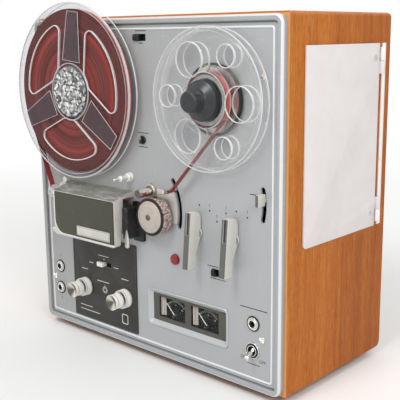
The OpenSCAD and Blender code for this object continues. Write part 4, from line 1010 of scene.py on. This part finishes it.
def flange(node, reel, holes, front, beads, extras, looks=("clear", "clearEdge", "clearRib")):
    # Beads are moulded rims, as radius, width and rise
    bm = bmesh.new()
    plate(bm, circle(reel["x"], reelH, reel["r"], 160), front, front + flangeThick,
          # The flange's rounded edges take the painted edge highlight
          holes + [circle(reel["x"], reelH, boreR, 32)], edge=0.45, edgeLook=1)
    for r, wide, rise in beads:
        low, high = r - wide / 2, r + wide / 2
        lathe(bm, reel["x"], reelH, [(low, 0), (low, rise, rise * 0.6), (high, rise, rise * 0.6), (high, 0)],
              True, 120, 2, front)
    if extras:
        extras(bm, reel)
    piece(node.replace("flange", "dressed"), bm, reel["body"], "clear_plastic", looks, node)


def hubWalls(bm, reel):
    # The hub between the flanges, with its boss around the spindle
    for r, wall in ((reel["hubR"], 3), (bossR, 2.9)):
        lathe(bm, reel["x"], reelH, [(r, 0), (r, -hubDepth), (r - wall, -hubDepth), (r - wall, 0)], True, 96,
              2, reelFront + flangeThick)


def frostedPanels(bm, reel):
    for outline in labels:
        plate(bm, outline, reelFront - 0.25, reelFront + 0.1, edge=0.15, steps=1, look=3, edgeLook=1)


windows, holes = supplyWindows(), takeupHoles()
label = dict(low=31, high=80, lowHalf=13.5, highHalf=8.4)
corners = [(-label["lowHalf"], label["low"]), (label["lowHalf"], label["low"]),
           (label["highHalf"], label["high"]), (-label["highHalf"], label["high"])]
labels = [turned(corners, supply["armAngle"] + 120 * k - 90) for k in range(3)]
flange("supply_front_flange", supply, windows, reelFront,
       [(88.1, 1.4, 0.5), (84.4, 0.7, 0.3), (28.6, 1.2, 0.7)], frostedPanels,
       ("smoky", "clearEdge", "clearRib", "frosted"))
for name, lines, y, radius, reel in (   # edges of the openings and panels painted pale, a painted highlight
        ("supply_window_rims", windows, reelFront - 0.1, 0.55, supply),
        ("supply_label_rims", labels, reelFront - 0.25, 0.28, supply),
        ("supply_rear_rims", windows, reelBack - 0.1, 0.4, supply),
        ("takeup_hole_rims", holes, reelFront - 0.05, 0.42, takeup),
        ("takeup_rear_rims", holes, reelBack - 1.75, 0.32, takeup)):
    piece(name, trim([flat(line, y) for line in lines], radius, "clearEdge"), reel["body"],
          "clear_plastic", "clearEdge")
flange("supply_rear_flange", supply, windows, reelBack - flangeThick, [], hubWalls)
flange("takeup_front_flange", takeup, holes, reelFront,
       [(62.8, 1.2, 0.45), (59.4, 0.6, 0.3), (24.4, 1.1, 0.6), (30.0, 0.5, 0.25)], None)
flange("takeup_rear_flange", takeup, holes, reelBack - flangeThick, [(62.8, 1.2, 0.4)], hubWalls)

# Notches moulded in the supply reel's edge, copied around it by a tree
notch = block("notch", 0.5, 1.5, 0.5)
ring = flat(circle(supply["x"], reelH, supply["r"] + 0.05, 240), reelFront + 0.85)
piece("supply_edge_notches", spread(notch, ring, "clearEdge", spot(supply["x"], reelFront, reelH)),
      "supply_reel", "clear_plastic", "clearEdge")

# The wound tape, whose turns don't lie quite level
random.seed(4)
pack = dict(inner=27.4, outer=82.6, front=tapeFront - 0.3, deep=tapeFront - 0.3 - tapeBack)
bm = bmesh.new()
outline = [(pack["inner"], 0)]
while outline[-1][0] < pack["outer"] - 4:
    r, level = outline[-1][0] + random.uniform(1.5, 4), random.uniform(0, 0.3)
    outline += [(r, outline[-1][1]), (r + 0.1, -level)]
outline += [(pack["outer"], -0.1), (pack["outer"], pack["deep"]), (pack["inner"], pack["deep"])]
lathe(bm, supply["x"], reelH, outline, True, 144, 0, pack["front"])
piece("supply_tape_wound", bm, "supply_reel", "tape_brown", "tape", "supply_tape")

# Faceted cover of the supply reel's hub
hub = dict(r=25.5, rise=2.2, bore=4.3, facetsFrom=11)
bm = bmesh.new()
lathe(bm, supply["x"], reelH, [
    (hub["bore"], 0), (hub["bore"], 3.4, 0.5), (9, 3.4, 1), (10.5, 1.2, 1),
    (hub["r"] - 3, hub["rise"] - 0.6, 1), (hub["r"] - 1, hub["rise"], 0.8), (hub["r"], 0.9, 0.5),
    (hub["r"], 0)], True, 72, 0, reelFront - 0.05)
random.seed(11)
for vert in bm.verts:
    far = math.hypot(vert.co.x / mm - supply["x"], vert.co.z / mm - footHeight - reelH)
    if hub["facetsFrom"] < far < hub["r"] - 2 and vert.co.y < (reelFront - 0.6) * mm:
        vert.co.y += random.uniform(-0.35, 0.35) * mm
piece("supply_hub_cover", bm, "supply_reel", "clear_plastic", "hub", sharpAbove=12)

# Take-up cap: the CAD's own steps, rounded
cap = dict(r=18, length=21.4, y=-100.6)
bm = bmesh.new()
lathe(bm, reelX, reelH, [
    (4.2, 0), (cap["r"], 0, 0.5), (cap["r"], 5, 0.8), (15.4, 6.5, 1.2), (11, 9.5, 1.5), (10.2, 11.4, 0.5),
    (10.2, 12.6, 0.4), (9.7, 12.9, 0.4), (9.5, cap["length"], 2.4), (2.5, cap["length"] - 0.3, 6),
    (0.02, cap["length"] - 0.5), (0.02, 16), (4.2, 16)], True, 72, 0, cap["y"], 5)
piece("takeup_cap", bm, "takeup_reel", "black_plastic", "cap", "reel_cap")
print("reels ready")


# Tape path

# The run in three lengths. The two beside the tension pin are cut across into short lengths.
fixedEnd, pinStart, pinEnd, bendEnd, reelEnd = (Vector(p) for p in (
    (32.5, 171.3), (37.3, 172.5), (46, 177.2), (72.6, 206.6), (110, 247.9)))


def cutRun(start, end, lengths, before=False):
    # The run from start to end in lengths, or all of it before start
    way = (end - start).normalized()
    bm = joined(nodes["tape_run"].data)
    bmesh.ops.remove_doubles(bm, verts=bm.verts, dist=2e-6)
    for k in range(1 if before else lengths + 1):
        at = start + (end - start) * k / lengths
        bmesh.ops.bisect_plane(bm, geom=bm.verts[:] + bm.edges[:] + bm.faces[:],
                               plane_co=spot(at.x, 0, at.y), plane_no=(way.x, 0, way.y),
                               clear_inner=k == 0 and not before, clear_outer=before or k == lengths)
    bmesh.ops.holes_fill(bm, edges=[e for e in bm.edges if e.is_boundary])
    return bm


piece("tape_over_roller", cutRun(fixedEnd, pinStart, 1, True), "deck", "tape_brown", "ribbon", "tape_run")
for name, first, last, start, end, bendStop in (
        ("tape_to_pin", "deck", "tension_arm", fixedEnd, pinStart, pinStart),
        ("tape_to_takeup", "tension_arm", "deck", pinEnd, reelEnd, bendEnd)):
    span = piece(name, cutRun(start, end, 40), None, "tape_brown", "ribbon", sharpAbove=60)
    spot(start.x, tapeFront, start.y)
    spot(bendStop.x, tapeFront, bendStop.y)
    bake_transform(span)
softened("tape_loop", 0.02, "tension_arm", "tape_brown", "ribbon", segments=1)

guide = dict(x=-127.4, h=154.6, r=6.5)
bm = bmesh.new()
lathe(bm, guide["x"], guide["h"], [
    (2.05, 4.5), (7.3, 4.5, 0.3), (7.3, 5.8, 0.3), (guide["r"], 6.1), (guide["r"], 13.4), (7.4, 13.8, 0.3),
    (7.4, 15.6, 0.4), (6.2, 15.9), (5.8, 19.6, 0.5), (4.2, 20.8, 0.6), (2.05, 20.8)], True, 48)
piece("guide_roller_turned", bm, "guide_roller", "chrome", "clearRib", "guide_roller")

bm = bmesh.new()
for x, h, outline in (
        (-22.6, 180.1, [(5.2, 0), (5.2, 1.2, 0.3), (4.5, 1.4), (4.5, 4, 0.5), (2.7, 4.3), (2.6, 9),
                        (3.1, 9.4, 0.2), (3.1, 13.4, 0.4), (1.2, 14), (1.2, 21.4, 0.6), (0.02, 22)]),
        (-121, 167, [(3.5, 0), (3.5, 6, 0.8), (0.02, 6)]),
        (-103, 151, [(3.2, 2.5), (3.2, 5.5), (4.1, 5.7, 0.2), (4.1, 6.4, 0.2), (3.2, 6.5), (3.2, 13),
                     (4.1, 13.3, 0.2), (4.1, 14.2, 0.3), (1.4, 14.4), (1.4, 15.2, 0.4), (0.02, 15.2)]),
        (-36.57, 157.25, [(2.2, 2.5), (2.2, 5.2), (3.1, 5.4, 0.2), (3.1, 6.1, 0.2), (2.2, 6.2), (2.2, 13.2),
                          (3.1, 13.4, 0.2), (3.1, 14.3, 0.3), (0.02, 14.3)]),
        (guide["x"], guide["h"], [(9, 0), (9, 2.6, 0.5), (5, 3), (2, 3), (2, 18.6, 0.4), (0.02, 18.8)])):
    lathe(bm, x, h, [(0.02, 0)] + outline, count=40)
piece("guide_posts_turned", bm, "deck", "chrome", "satin", "guide_posts")

capstan = dict(x=7, h=169.5, bore=4.08)
bm = bmesh.new()
lathe(bm, capstan["x"], capstan["h"], [(capstan["bore"], 0.05), (8, 0.05), (8, 1.2, 0.3), (6.9, 1.3),
                                       (6.9, 2.3, 0.4), (capstan["bore"], 2.5)], True, 48)
piece("capstan_washers", bm, "deck", "bronze", "steel")
softened("capstan", 0.4, "capstan", "steel", ["chrome", "shaftEnd"],
         lambda face: 1 if face.normal.y < -0.9 and face.calc_center_median().y < reelFront * mm else 0)

# Pinch roller: tyre, black ring, domed cap and its screw
bm = bmesh.new()
lathe(bm, roller["x"], roller["h"], [
    (11, -12), (roller["r"] - 0.3, -12, 1), (roller["r"], -11), (roller["r"], -1.2, 0.9), (17.6, 0.1, 0.5),
    (16.2, 0, 0.3), (15.9, -0.8), (11, -0.8)], True, 96, 0, roller["front"], 4)
lathe(bm, roller["x"], roller["h"], [
    (2.05, -12), (10.9, -12), (10.9, -0.9), (roller["capR"], -0.9), (roller["capR"] + 0.2, 0.3, 0.4),
    (14.2, 0.9, 0.5), (13.5, 0.55, 0.2), (11.6, 1.35, 1), (3.4, roller["rise"], 3), (2.05, roller["rise"])],
      True, 96, 1, roller["front"], 4)
piece("pinch_roller_dressed", bm, "pinch_roller", "roller_rubber", ["roller", "rollerCap"], "pinch_roller")
small = slottedHead("small screw", 2.9, 1.3, 0.8, 0.7)
tip = spot(roller["x"], roller["front"] - roller["rise"] + 0.1, roller["h"])
made = spread(small, [tip], "rust", spot(roller["x"], 0, farUp), spin=1, seed=3)
piece("roller_screw", made, "pinch_arm", "steel", "rust")


def bracketPaint(face):
    # The bright plate behind the roller
    x, y, z = face.calc_center_median()
    return 1 if x > 0.0161 or (y > -0.0862 and x > -0.0005) else 0


# Black bracket left of the roller, with its spring tab
softened("pinch_bracket", 0.5, "deck", "black_metal", ["blackMetal", "cover"], bracketPaint)
tab = dict(x=-10, low=112.5, high=131, half=3, tip=0.6)
bm = bmesh.new()
plate(bm, rounded([(tab["x"] - tab["half"], tab["low"], 2.4), (tab["x"] + tab["half"], tab["low"], 2.4),
                   (tab["x"] + tab["half"], tab["low"] + 10, 4), (tab["x"] + tab["tip"], tab["high"], 0.6),
                   (tab["x"] - tab["tip"], tab["high"], 0.6), (tab["x"] - tab["half"], tab["low"] + 10, 4)]),
      -103.2, -102.1)
piece("bracket_tab", bm, "deck", "steel", "steel")
print("tape path ready")


# Head cover: rounded shell, dark front with a bright border, bare nameplate

cover = dict(x0=-111.5, x1=-19.4, low=115.5, high=158.4, cornerR=13)
x0, x1, low, high = cover["x0"], cover["x1"], cover["low"], cover["high"]
softened("head_cover", 1.0, "deck", "cover_paint", "cover", segments=3)
bm = bmesh.new()
plate(bm, rounded([(x0, low, cover["cornerR"]), (x1, low, 1), (x1, high, 1), (x0, high, 1)], steps=8),
      coverFront - 0.8, coverFront + 0.02, edge=0.25)
nameplate = box(-75.3, 117.5, -24.3, 127.5, 0.8)
plate(bm, nameplate, coverFront - 1.7, coverFront - 0.75, look=1)
piece("head_cover_front", bm, "deck", "olive_plate", ["olive", "nameplate"], "head_cover_plate")
border = rounded([(x0 - 1.2, high), (x0 - 1.2, low - 1.2, cover["cornerR"] + 1), (x1, low - 1.2)], False, 10)
seam = rounded([(x0, high + 0.2), (x1 + 0.2, high + 0.2, 1), (x1 + 0.2, low)], False, 10)
for name, line, radius, look, slotName in (("head_cover_border", border, 0.55, "inlay", "chrome"),
                                           ("head_cover_seam", seam, 0.35, "blackMetal", "black_metal")):
    piece(name, trim([flat(line, coverFront - 0.1)], radius, look, 10, False), "deck", slotName, look)
piece("nameplate_line", trim([flat(inset(nameplate, 0.9), coverFront - 1.55)], 0.22, "print", 6), "deck",
      "black_plastic", "print")

# Control plate, with a lighter line at its edge
bm = bmesh.new()
shaftHoles = [circle(knob[side], knob["h"], 5.05, 40) for side in ("left", "right")]
plate(bm, box(-117.5, 15, -15.9, 110, 1.5), deck - 1, deck + 0.02,
      shaftHoles + [box(-75.2, 78, -55, 84, 0.3)])
piece("control_plate_dressed", bm, "deck", "olive_plate", "control", "control_plate")
line = flat(box(-115.9, 16.6, -17.5, 108.4, 1), deck - 1.02)
piece("control_plate_line", trim([line], 0.22, "bezelFloor", 6), "deck", "chrome", "bezelFloor")
print("head cover ready")


# Level knobs: dished front, rings, and ribs copied around them by a tree

ribPart = bar("rib", [(-0.28, -0.3), (0.28, -0.3), (0.0, 0.24)], 2.6, 1)
knobParts = {   # ring of ribs as radius, count and distance in front of the deck, then the outline
    "front": (7.6, 44, 14.6, [
        (0.02, -10), (3, -10), (3, 10.35), (6.9, 10.35, 0.3), (7.1, 11.4), (7.6, 11.8), (7.6, 17.6),
        (7.2, 18), (7.2, 18.7), (8.1, 19.1, 0.4), (8.1, 22, 0.5), (7.3, 22, 0.3), (1.6, 18.6, 1),
        (0.02, 18.6)]),
    "rear": (9.6, 56, 5.2, [
        (3.05, -6), (5, -6), (5, 1.35), (9.9, 1.35, 0.4), (10, 2.2), (9.6, 2.4), (9.6, 8.1), (9.2, 8.3),
        (9.2, 8.8), (9.8, 9, 0.2), (9.6, 10, 0.5), (7.6, 10, 0.3), (3.05, 10)]),
}
for side in ("left", "right"):
    for level, (r, ribs, out, outline) in knobParts.items():
        x, h, body = knob[side], knob["h"], f"{side}_{level}_knob"
        bm = bmesh.new()
        lathe(bm, x, h, outline, level == "rear", 72)
        ring = flat(circle(x, h, r, ribs), deck - out)
        bm.from_mesh(spread(ribPart, ring, side + "Knob", spot(x, deck - out, h)))
        piece(body + "_dressed", bm, body, "steel", side + "Knob", body, sharpAbove=30)
print("knobs ready")


# Levers: cream sides, the front painted dark as painted shade, and the floor of the groove in its middle
# painted black as painted shade

# Front faces take the dark painted shade, and the floor of the groove the black painted shade
def leverShadePaint(x, grooveHalf=1.4):
    def paint(face):
        if face.normal.y > -0.8:
            return 0
        return 2 if all(abs(v.co.x - x * mm) < grooveHalf * mm for v in face.verts) else 1
    return paint


for name, x in (("left_lever", 70.2), ("right_lever", 114.8)):
    softened(name, 0.45, name, "lever_cream", ["cream", "leverFront", "blackMetal"], leverShadePaint(x))
# The stop lever's front is painted dark too, as painted shade
softened("stop_lever", 0.5, "stop_lever", "lever_cream", ["cream", "leverFront"],
         lambda face: 1 if face.normal.y < -0.8 and face.calc_center_median().y < deck * mm - 0.005 else 0)

button = dict(x=39.2, h=106.6, r=5)
bm = bmesh.new()
lathe(bm, button["x"], button["h"], [(0.02, -16), (2, -16), (2, -2.9), (4.9, -2.9), (button["r"], -2.5),
                                     (button["r"], 2.6, 0.9), (0.02, 3.9)], count=48, steps=8)
piece("record_button_domed", bm, "record_button", "red_plastic", "red", "record_button")

# Sliding switches, with ridges copied along them by a tree
ridge = bar("ridge", [(-0.3, 0.2), (0.3, 0.2), (0.16, -0.35), (-0.16, -0.35)], 2.2, 2)
for body, x, h, wide, tall, rise, look, ridges in (("speed_switch", -7.6, 316.4, 8, 5.6, 2, "black", 5),
                                                   ("mode_switch", -70.4, 81, 9, 5, 4, "white", 5),
                                                   ("shutoff_switch", 88.7, 103.1, 4, 6.6, 2.5, "black", 3)):
    bm = bmesh.new()
    plate(bm, boxAround(x, h, wide, tall, 0.6), deck - rise, panelBack + 1, edge=0.5, steps=3)
    pitch = (wide - 1.6) / ridges
    row = flat([(x + pitch * (i - (ridges - 1) / 2), h) for i in range(ridges)], deck - rise)
    bm.from_mesh(spread(ridge, row, look, spot(x, deck - rise, h - farUp)))
    piece(body + "_ridged", bm, body, look + "_plastic", look, body)

selector = dict(x=-2.2, h=219.1)
bm = bmesh.new()
lathe(bm, selector["x"], selector["h"], [
    (0.02, -10), (3, -10), (3, 0.32), (4.2, 0.32), (4.2, 1.1), (3.8, 1.5), (0.02, 1.5)], count=40)
plate(bm, boxAround(selector["x"], selector["h"], 3.6, 7, 1.7), deck - 4, deck - 1.4, edge=0.5)
plate(bm, box(-2.5, 219.6, -1.9, 222.2, 0.2), deck - 4.15, deck - 3.9, edge=0.05, look=1)
piece("selector_switch_dressed", bm, "selector_switch", "black_plastic", ["black", "paleprint"],
      "selector_switch")
print("levers and switches ready")


# Meters: lipped bezel, dark windows, dials with marks copied along an arc, white pointers

bezel = dict(x=52.9, h=51.7, wide=104.3, high=36.9, deep=2.5, slope=3.7)
window = dict(xs=(30.6, 73.9), h=52.5, wide=35.7, high=21)


def windowLoop(x, y):
    return flat(boxAround(x, window["h"], window["wide"], window["high"], 0.8), y)


bm = bmesh.new()
bezelFloor = deck + bezel["deep"]
back = bezelFloor + 1
# Its section from the back over the lip to the floor, as margin, y and corner radius
lip = ((0.3, back, 4), (0.3, deck + 0.02, 4), (-0.9, deck + 0.02, 5), (-0.9, deck - 0.7, 5),
       (-0.4, deck - 1.2, 4.6), (0.5, deck - 1.2, 4), (1.0, deck - 0.8, 3.6),
       (bezel["slope"], bezelFloor - 0.3, 1.6), (bezel["slope"] + 0.5, bezelFloor, 1.2))
rows = skin(bm, [flat(boxAround(bezel["x"], bezel["h"], bezel["wide"], bezel["high"], r, margin), y)
                 for margin, y, r in lip], caps=False)
for y, edgeRow, facing in ((bezelFloor, rows[-1], -1), (back, rows[0], 1)):
    edges = [bm.edges.get((edgeRow[i - 1], edgeRow[i])) for i in range(len(edgeRow))]
    for x in window["xs"]:
        hole = [bm.verts.new(p) for p in windowLoop(x, y)]
        edges += [bm.edges.new((hole[i - 1], hole[i])) for i in range(len(hole))]
    fill(bm, edges, facing, 1)
for x in window["xs"]:
    skin(bm, [windowLoop(x, bezelFloor), windowLoop(x, back)], caps=False, look=1)
piece("meter_bezel_lipped", bm, "deck", "rim_paint", ["bezel", "bezelFloor"], "meter_bezel")

dial = dict(y=-77.02, pivotH=44.5, r=15.2, numbersR=11.2, reach=48, count=11, small=31)
needle = dict(rest=-45, length=16, half=0.4, tipHalf=0.22)
mark, smallMark = block("mark", 0.3, 0.06, 1.7), block("small mark", 0.2, 0.06, 0.9)


def around(x, r, degrees):
    # A place on a dial, by its angle from the top
    way = polar(r, 90 - degrees)
    return x + way.x, dial["pivotH"] + way.y


def scale(x, r, count):
    return flat([around(x, r, dial["reach"] * (2 * i / (count - 1) - 1)) for i in range(count)], dial["y"])


for side, x in zip(("left", "right"), window["xs"]):
    centre = spot(x, dial["y"], dial["pivotH"])
    bm = joined(spread(mark, scale(x, dial["r"], dial["count"]), "paleprint", centre),
                spread(smallMark, scale(x, dial["r"] - 0.2, dial["small"]), "paleprint", centre),
                trim([scale(x, dial["r"] - 1.2, 40)], 0.09, "paleprint", 5, False),
                *(printed(text, 2.4, *around(x, dial["numbersR"], t), dial["y"])
                  for text, t in (("0", -dial["reach"]), ("5", 0), ("10", dial["reach"]))))
    piece(side + "_dial_marks", bm, "deck", "white_plastic", "paleprint", sharpAbove=180)

    # Pointer with a round hub, at rest on the left
    bm = bmesh.new()
    lathe(bm, x, dial["pivotH"], [(0.02, -13), (1, -13), (1, -5.4), (1.5, -5.4), (1.5, -3.8), (0.02, -3.8)],
          count=32, look=1)
    mid = Vector((x, dial["pivotH"]))
    way, across = polar(1, 90 - needle["rest"]), polar(1, -needle["rest"])
    tip = mid + way * needle["length"]
    outline = [mid - across * needle["half"], mid + across * needle["half"],
               tip + across * needle["tipHalf"], tip - across * needle["tipHalf"]]
    plate(bm, outline, -78.7, -78.1, edge=0.08, steps=1)
    piece(side + "_pointer", bm, "needle_" + side, "needle_white", ["needle", "black"], "needle_" + side)

    # Pale streaks on the left of the window, a painted reflection
    bm = bmesh.new()
    for i, wide in enumerate((0.9, 0.7, 1.1, 0.5)):
        left = x - window["wide"] / 2 + 1.2 + i * 1.45
        plate(bm, box(left, window["h"] - 9.4, left + wide, window["h"] + 9.4, 0.1), -80.6 + i * 0.5,
              -79.8 + i * 0.5, edge=0.1, steps=1, look=i % 2)
    piece(side + "_dial_edge", bm, "deck", "white_plastic", ["rose", "paleprint"])
print("meters ready")


# Sockets, power toggle and printed marks

jack = dict(at=[(-142.3, 64.8), (-142.8, 39.8), (135.3, 64.7)], r=6, bore=3.2)
bm = bmesh.new()
for x, h in jack["at"]:
    lathe(bm, x, h, [
        (jack["bore"], -17), (4.4, -17), (4.4, -4), (7, -4), (7, -2.02), (4.4, -2.02), (4.4, 0),
        (jack["r"] + 0.2, 0), (jack["r"], 0.9, 0.3), (5.2, 1.1), (5.0, 1.9, 0.3), (4.4, 2.1),
        (4.2, 2.6, 0.3), (jack["bore"], 2.6, 0.5)], True, 40)
    lathe(bm, x, h, [(5.9, 0.02), (7.3, 0.02), (7.2, 0.5), (5.9, 0.9)], True, 40, 1)
piece("jack_rings", bm, "deck", "chrome", ["chrome", "blackMetal"])
bm = bmesh.new()
for x, h in jack["at"]:
    lathe(bm, x, h, [(3.18, 1.4), (3.18, -16.8), (2.5, -16.8), (2.5, 1.2)], True, 32)
    lathe(bm, x, h, [(0.02, -16.6), (7, -16.6), (7, -22), (0.02, -22)], count=32)
piece("jack_insides", bm, "deck", "black_plastic", "black", "jack_sockets")

toggle = dict(x=135.1, h=39.4, tilt=25, length=12.5, ballR=3)
pivot = Matrix.Translation(spot(toggle["x"], deck + 1, toggle["h"]))
bm = bmesh.new()
ball = [tuple(polar(toggle["ballR"], -88 + 8 * i)) for i in range(16)]
bat = [(1.7, 3.4), (2.3, 7, 5), (2.9, 10.4, 3), (2.5, toggle["length"] - 0.2, 1.6),
       (0.02, toggle["length"] + 0.2)]
lathe(bm, 0, -footHeight, [(0.02, -3.0)] + ball + bat, count=36, y0=0, steps=5)
bmesh.ops.transform(bm, verts=bm.verts, matrix=pivot @ Matrix.Rotation(math.radians(toggle["tilt"]), 4, "X"))
bmesh.ops.create_cone(bm, cap_ends=True, segments=24, radius1=0.8 * mm, radius2=0.8 * mm, depth=8 * mm,
                      matrix=pivot @ Matrix.Rotation(math.pi / 2, 4, "Y"))
piece("toggle_bat", bm, "power_toggle", "chrome", "chrome", "power_toggle")
bm = bmesh.new()
lathe(bm, toggle["x"], toggle["h"], [
    (4.45, 0), (7.7, 0), (7.7, 1.6, 0.4), (6.9, 1.7, 0.2), (6.7, 1.25), (5.3, 1.25), (5.2, 2.3, 0.2),
    (4.45, 2.4, 0.2)], True, 48, [0] * 9 + [1] * 3 + [0] * 8)
piece("toggle_nut", bm, "deck", "chrome", ["chrome", "blackMetal"])

marks = dict(y=-85.03, dotR=0.9)
bm = joined(*(printed(text, size, x, h, marks["y"]) for text, size, x, h in (
    ("ON", 4.2, 123.8, 30.2), ("OFF", 4.2, 145.9, 30.4), ("1", 4.2, -142.3, 76.4), ("2", 4.2, -142.6, 27.6),
    ("1", 3.6, 83.8, 165.9), ("2", 3.6, 92.7, 156.8), ("1", 3.6, 103.5, 166.4), ("2", 3.6, 128.2, 166.2))))
for x, h in ((71.2, 164.7), (83.8, 161.1), (92.7, 152.1), (103.5, 161.5), (115.7, 164.9), (128.2, 161.2)):
    plate(bm, circle(x, h, marks["dotR"], 16), marks["y"], marks["y"] + 0.05, edge=0)
bars(bm, ((-9.5, 322.2, 5.5, 323.0), (-4.6, 310.7, 0.6, 311.7), (-9.5, 225.6, 5.5, 226.3),
          (-8.5, 211.8, 4.5, 212.5), (120, 78.3, 151, 79.1), (80.5, 108.6, 94, 109.3), (84, 97.2, 103, 97.9),
          (129, 25.6, 143, 26.3), (131, 182.2, 138.5, 183.0)), marks["y"])
piece("panel_print", bm, "deck", "black_plastic", "print", sharpAbove=180)

plateY = deck - 1.03
bm = bmesh.new()
bars(bm, ((-74.5, 89.8, -58.5, 90.5), (-66.4, 85.2, -65.7, 87.6), (-90.5, 79.2, -83.5, 79.9),
          (-50.5, 80.4, -43.5, 81.1), (-103.5, 70.4, -93, 71.1), (-39.5, 70.6, -28.5, 71.3),
          (-78, 61.2, -59, 61.9), (-108, 28.2, -88, 28.9), (-108, 23.4, -76, 24.1)), plateY)
for r in (3.6, 2.4):
    lathe(bm, -66.1, 52.9, [(r, 1.0), (r, 1.05), (r - 0.45, 1.05), (r - 0.45, 1.0)], True, 40)
bars(bm, ((-66.4, 55.5, -65.8, 58.2),), plateY)
plate(bm, box(-40, 22, -30.6, 33, 2), plateY, plateY + 0.05, [box(-39, 23, -31.6, 32, 1.4)], edge=0)
piece("plate_print", bm, "deck", "white_plastic", "paleprint", sharpAbove=180)
print("marks ready")


# Side door with its screws, and the back

softened("side_door", 0.45, "side_door", "door_white", "door")
rivet = slottedHead("door screw", 2.6, 0.7, 0.6, 0.4)
for name, h in (("lower", 147.6), ("upper", 295.7)):
    bm = joined(rivet.data)
    bm.transform(Matrix.Translation(spot(170.28, 52, h)) @ Matrix.Rotation(math.pi / 2, 4, "Z")
                 @ Matrix.Rotation(0.5, 4, "Y"))
    piece("door_screw_" + name, bm, "side_door", "chrome", "steel")
softened("door_hinge", 0.25, "deck", "steel", "hinge")
softened("feet", 1.2, "deck", "rubber_black", "rubber", segments=3)
softened("back_cover", 0.5, "deck", "hardboard", "hardboard")
discard(head, notch, small, ribPart, ridge, mark, smallMark, rivet)

print("pieces finished")
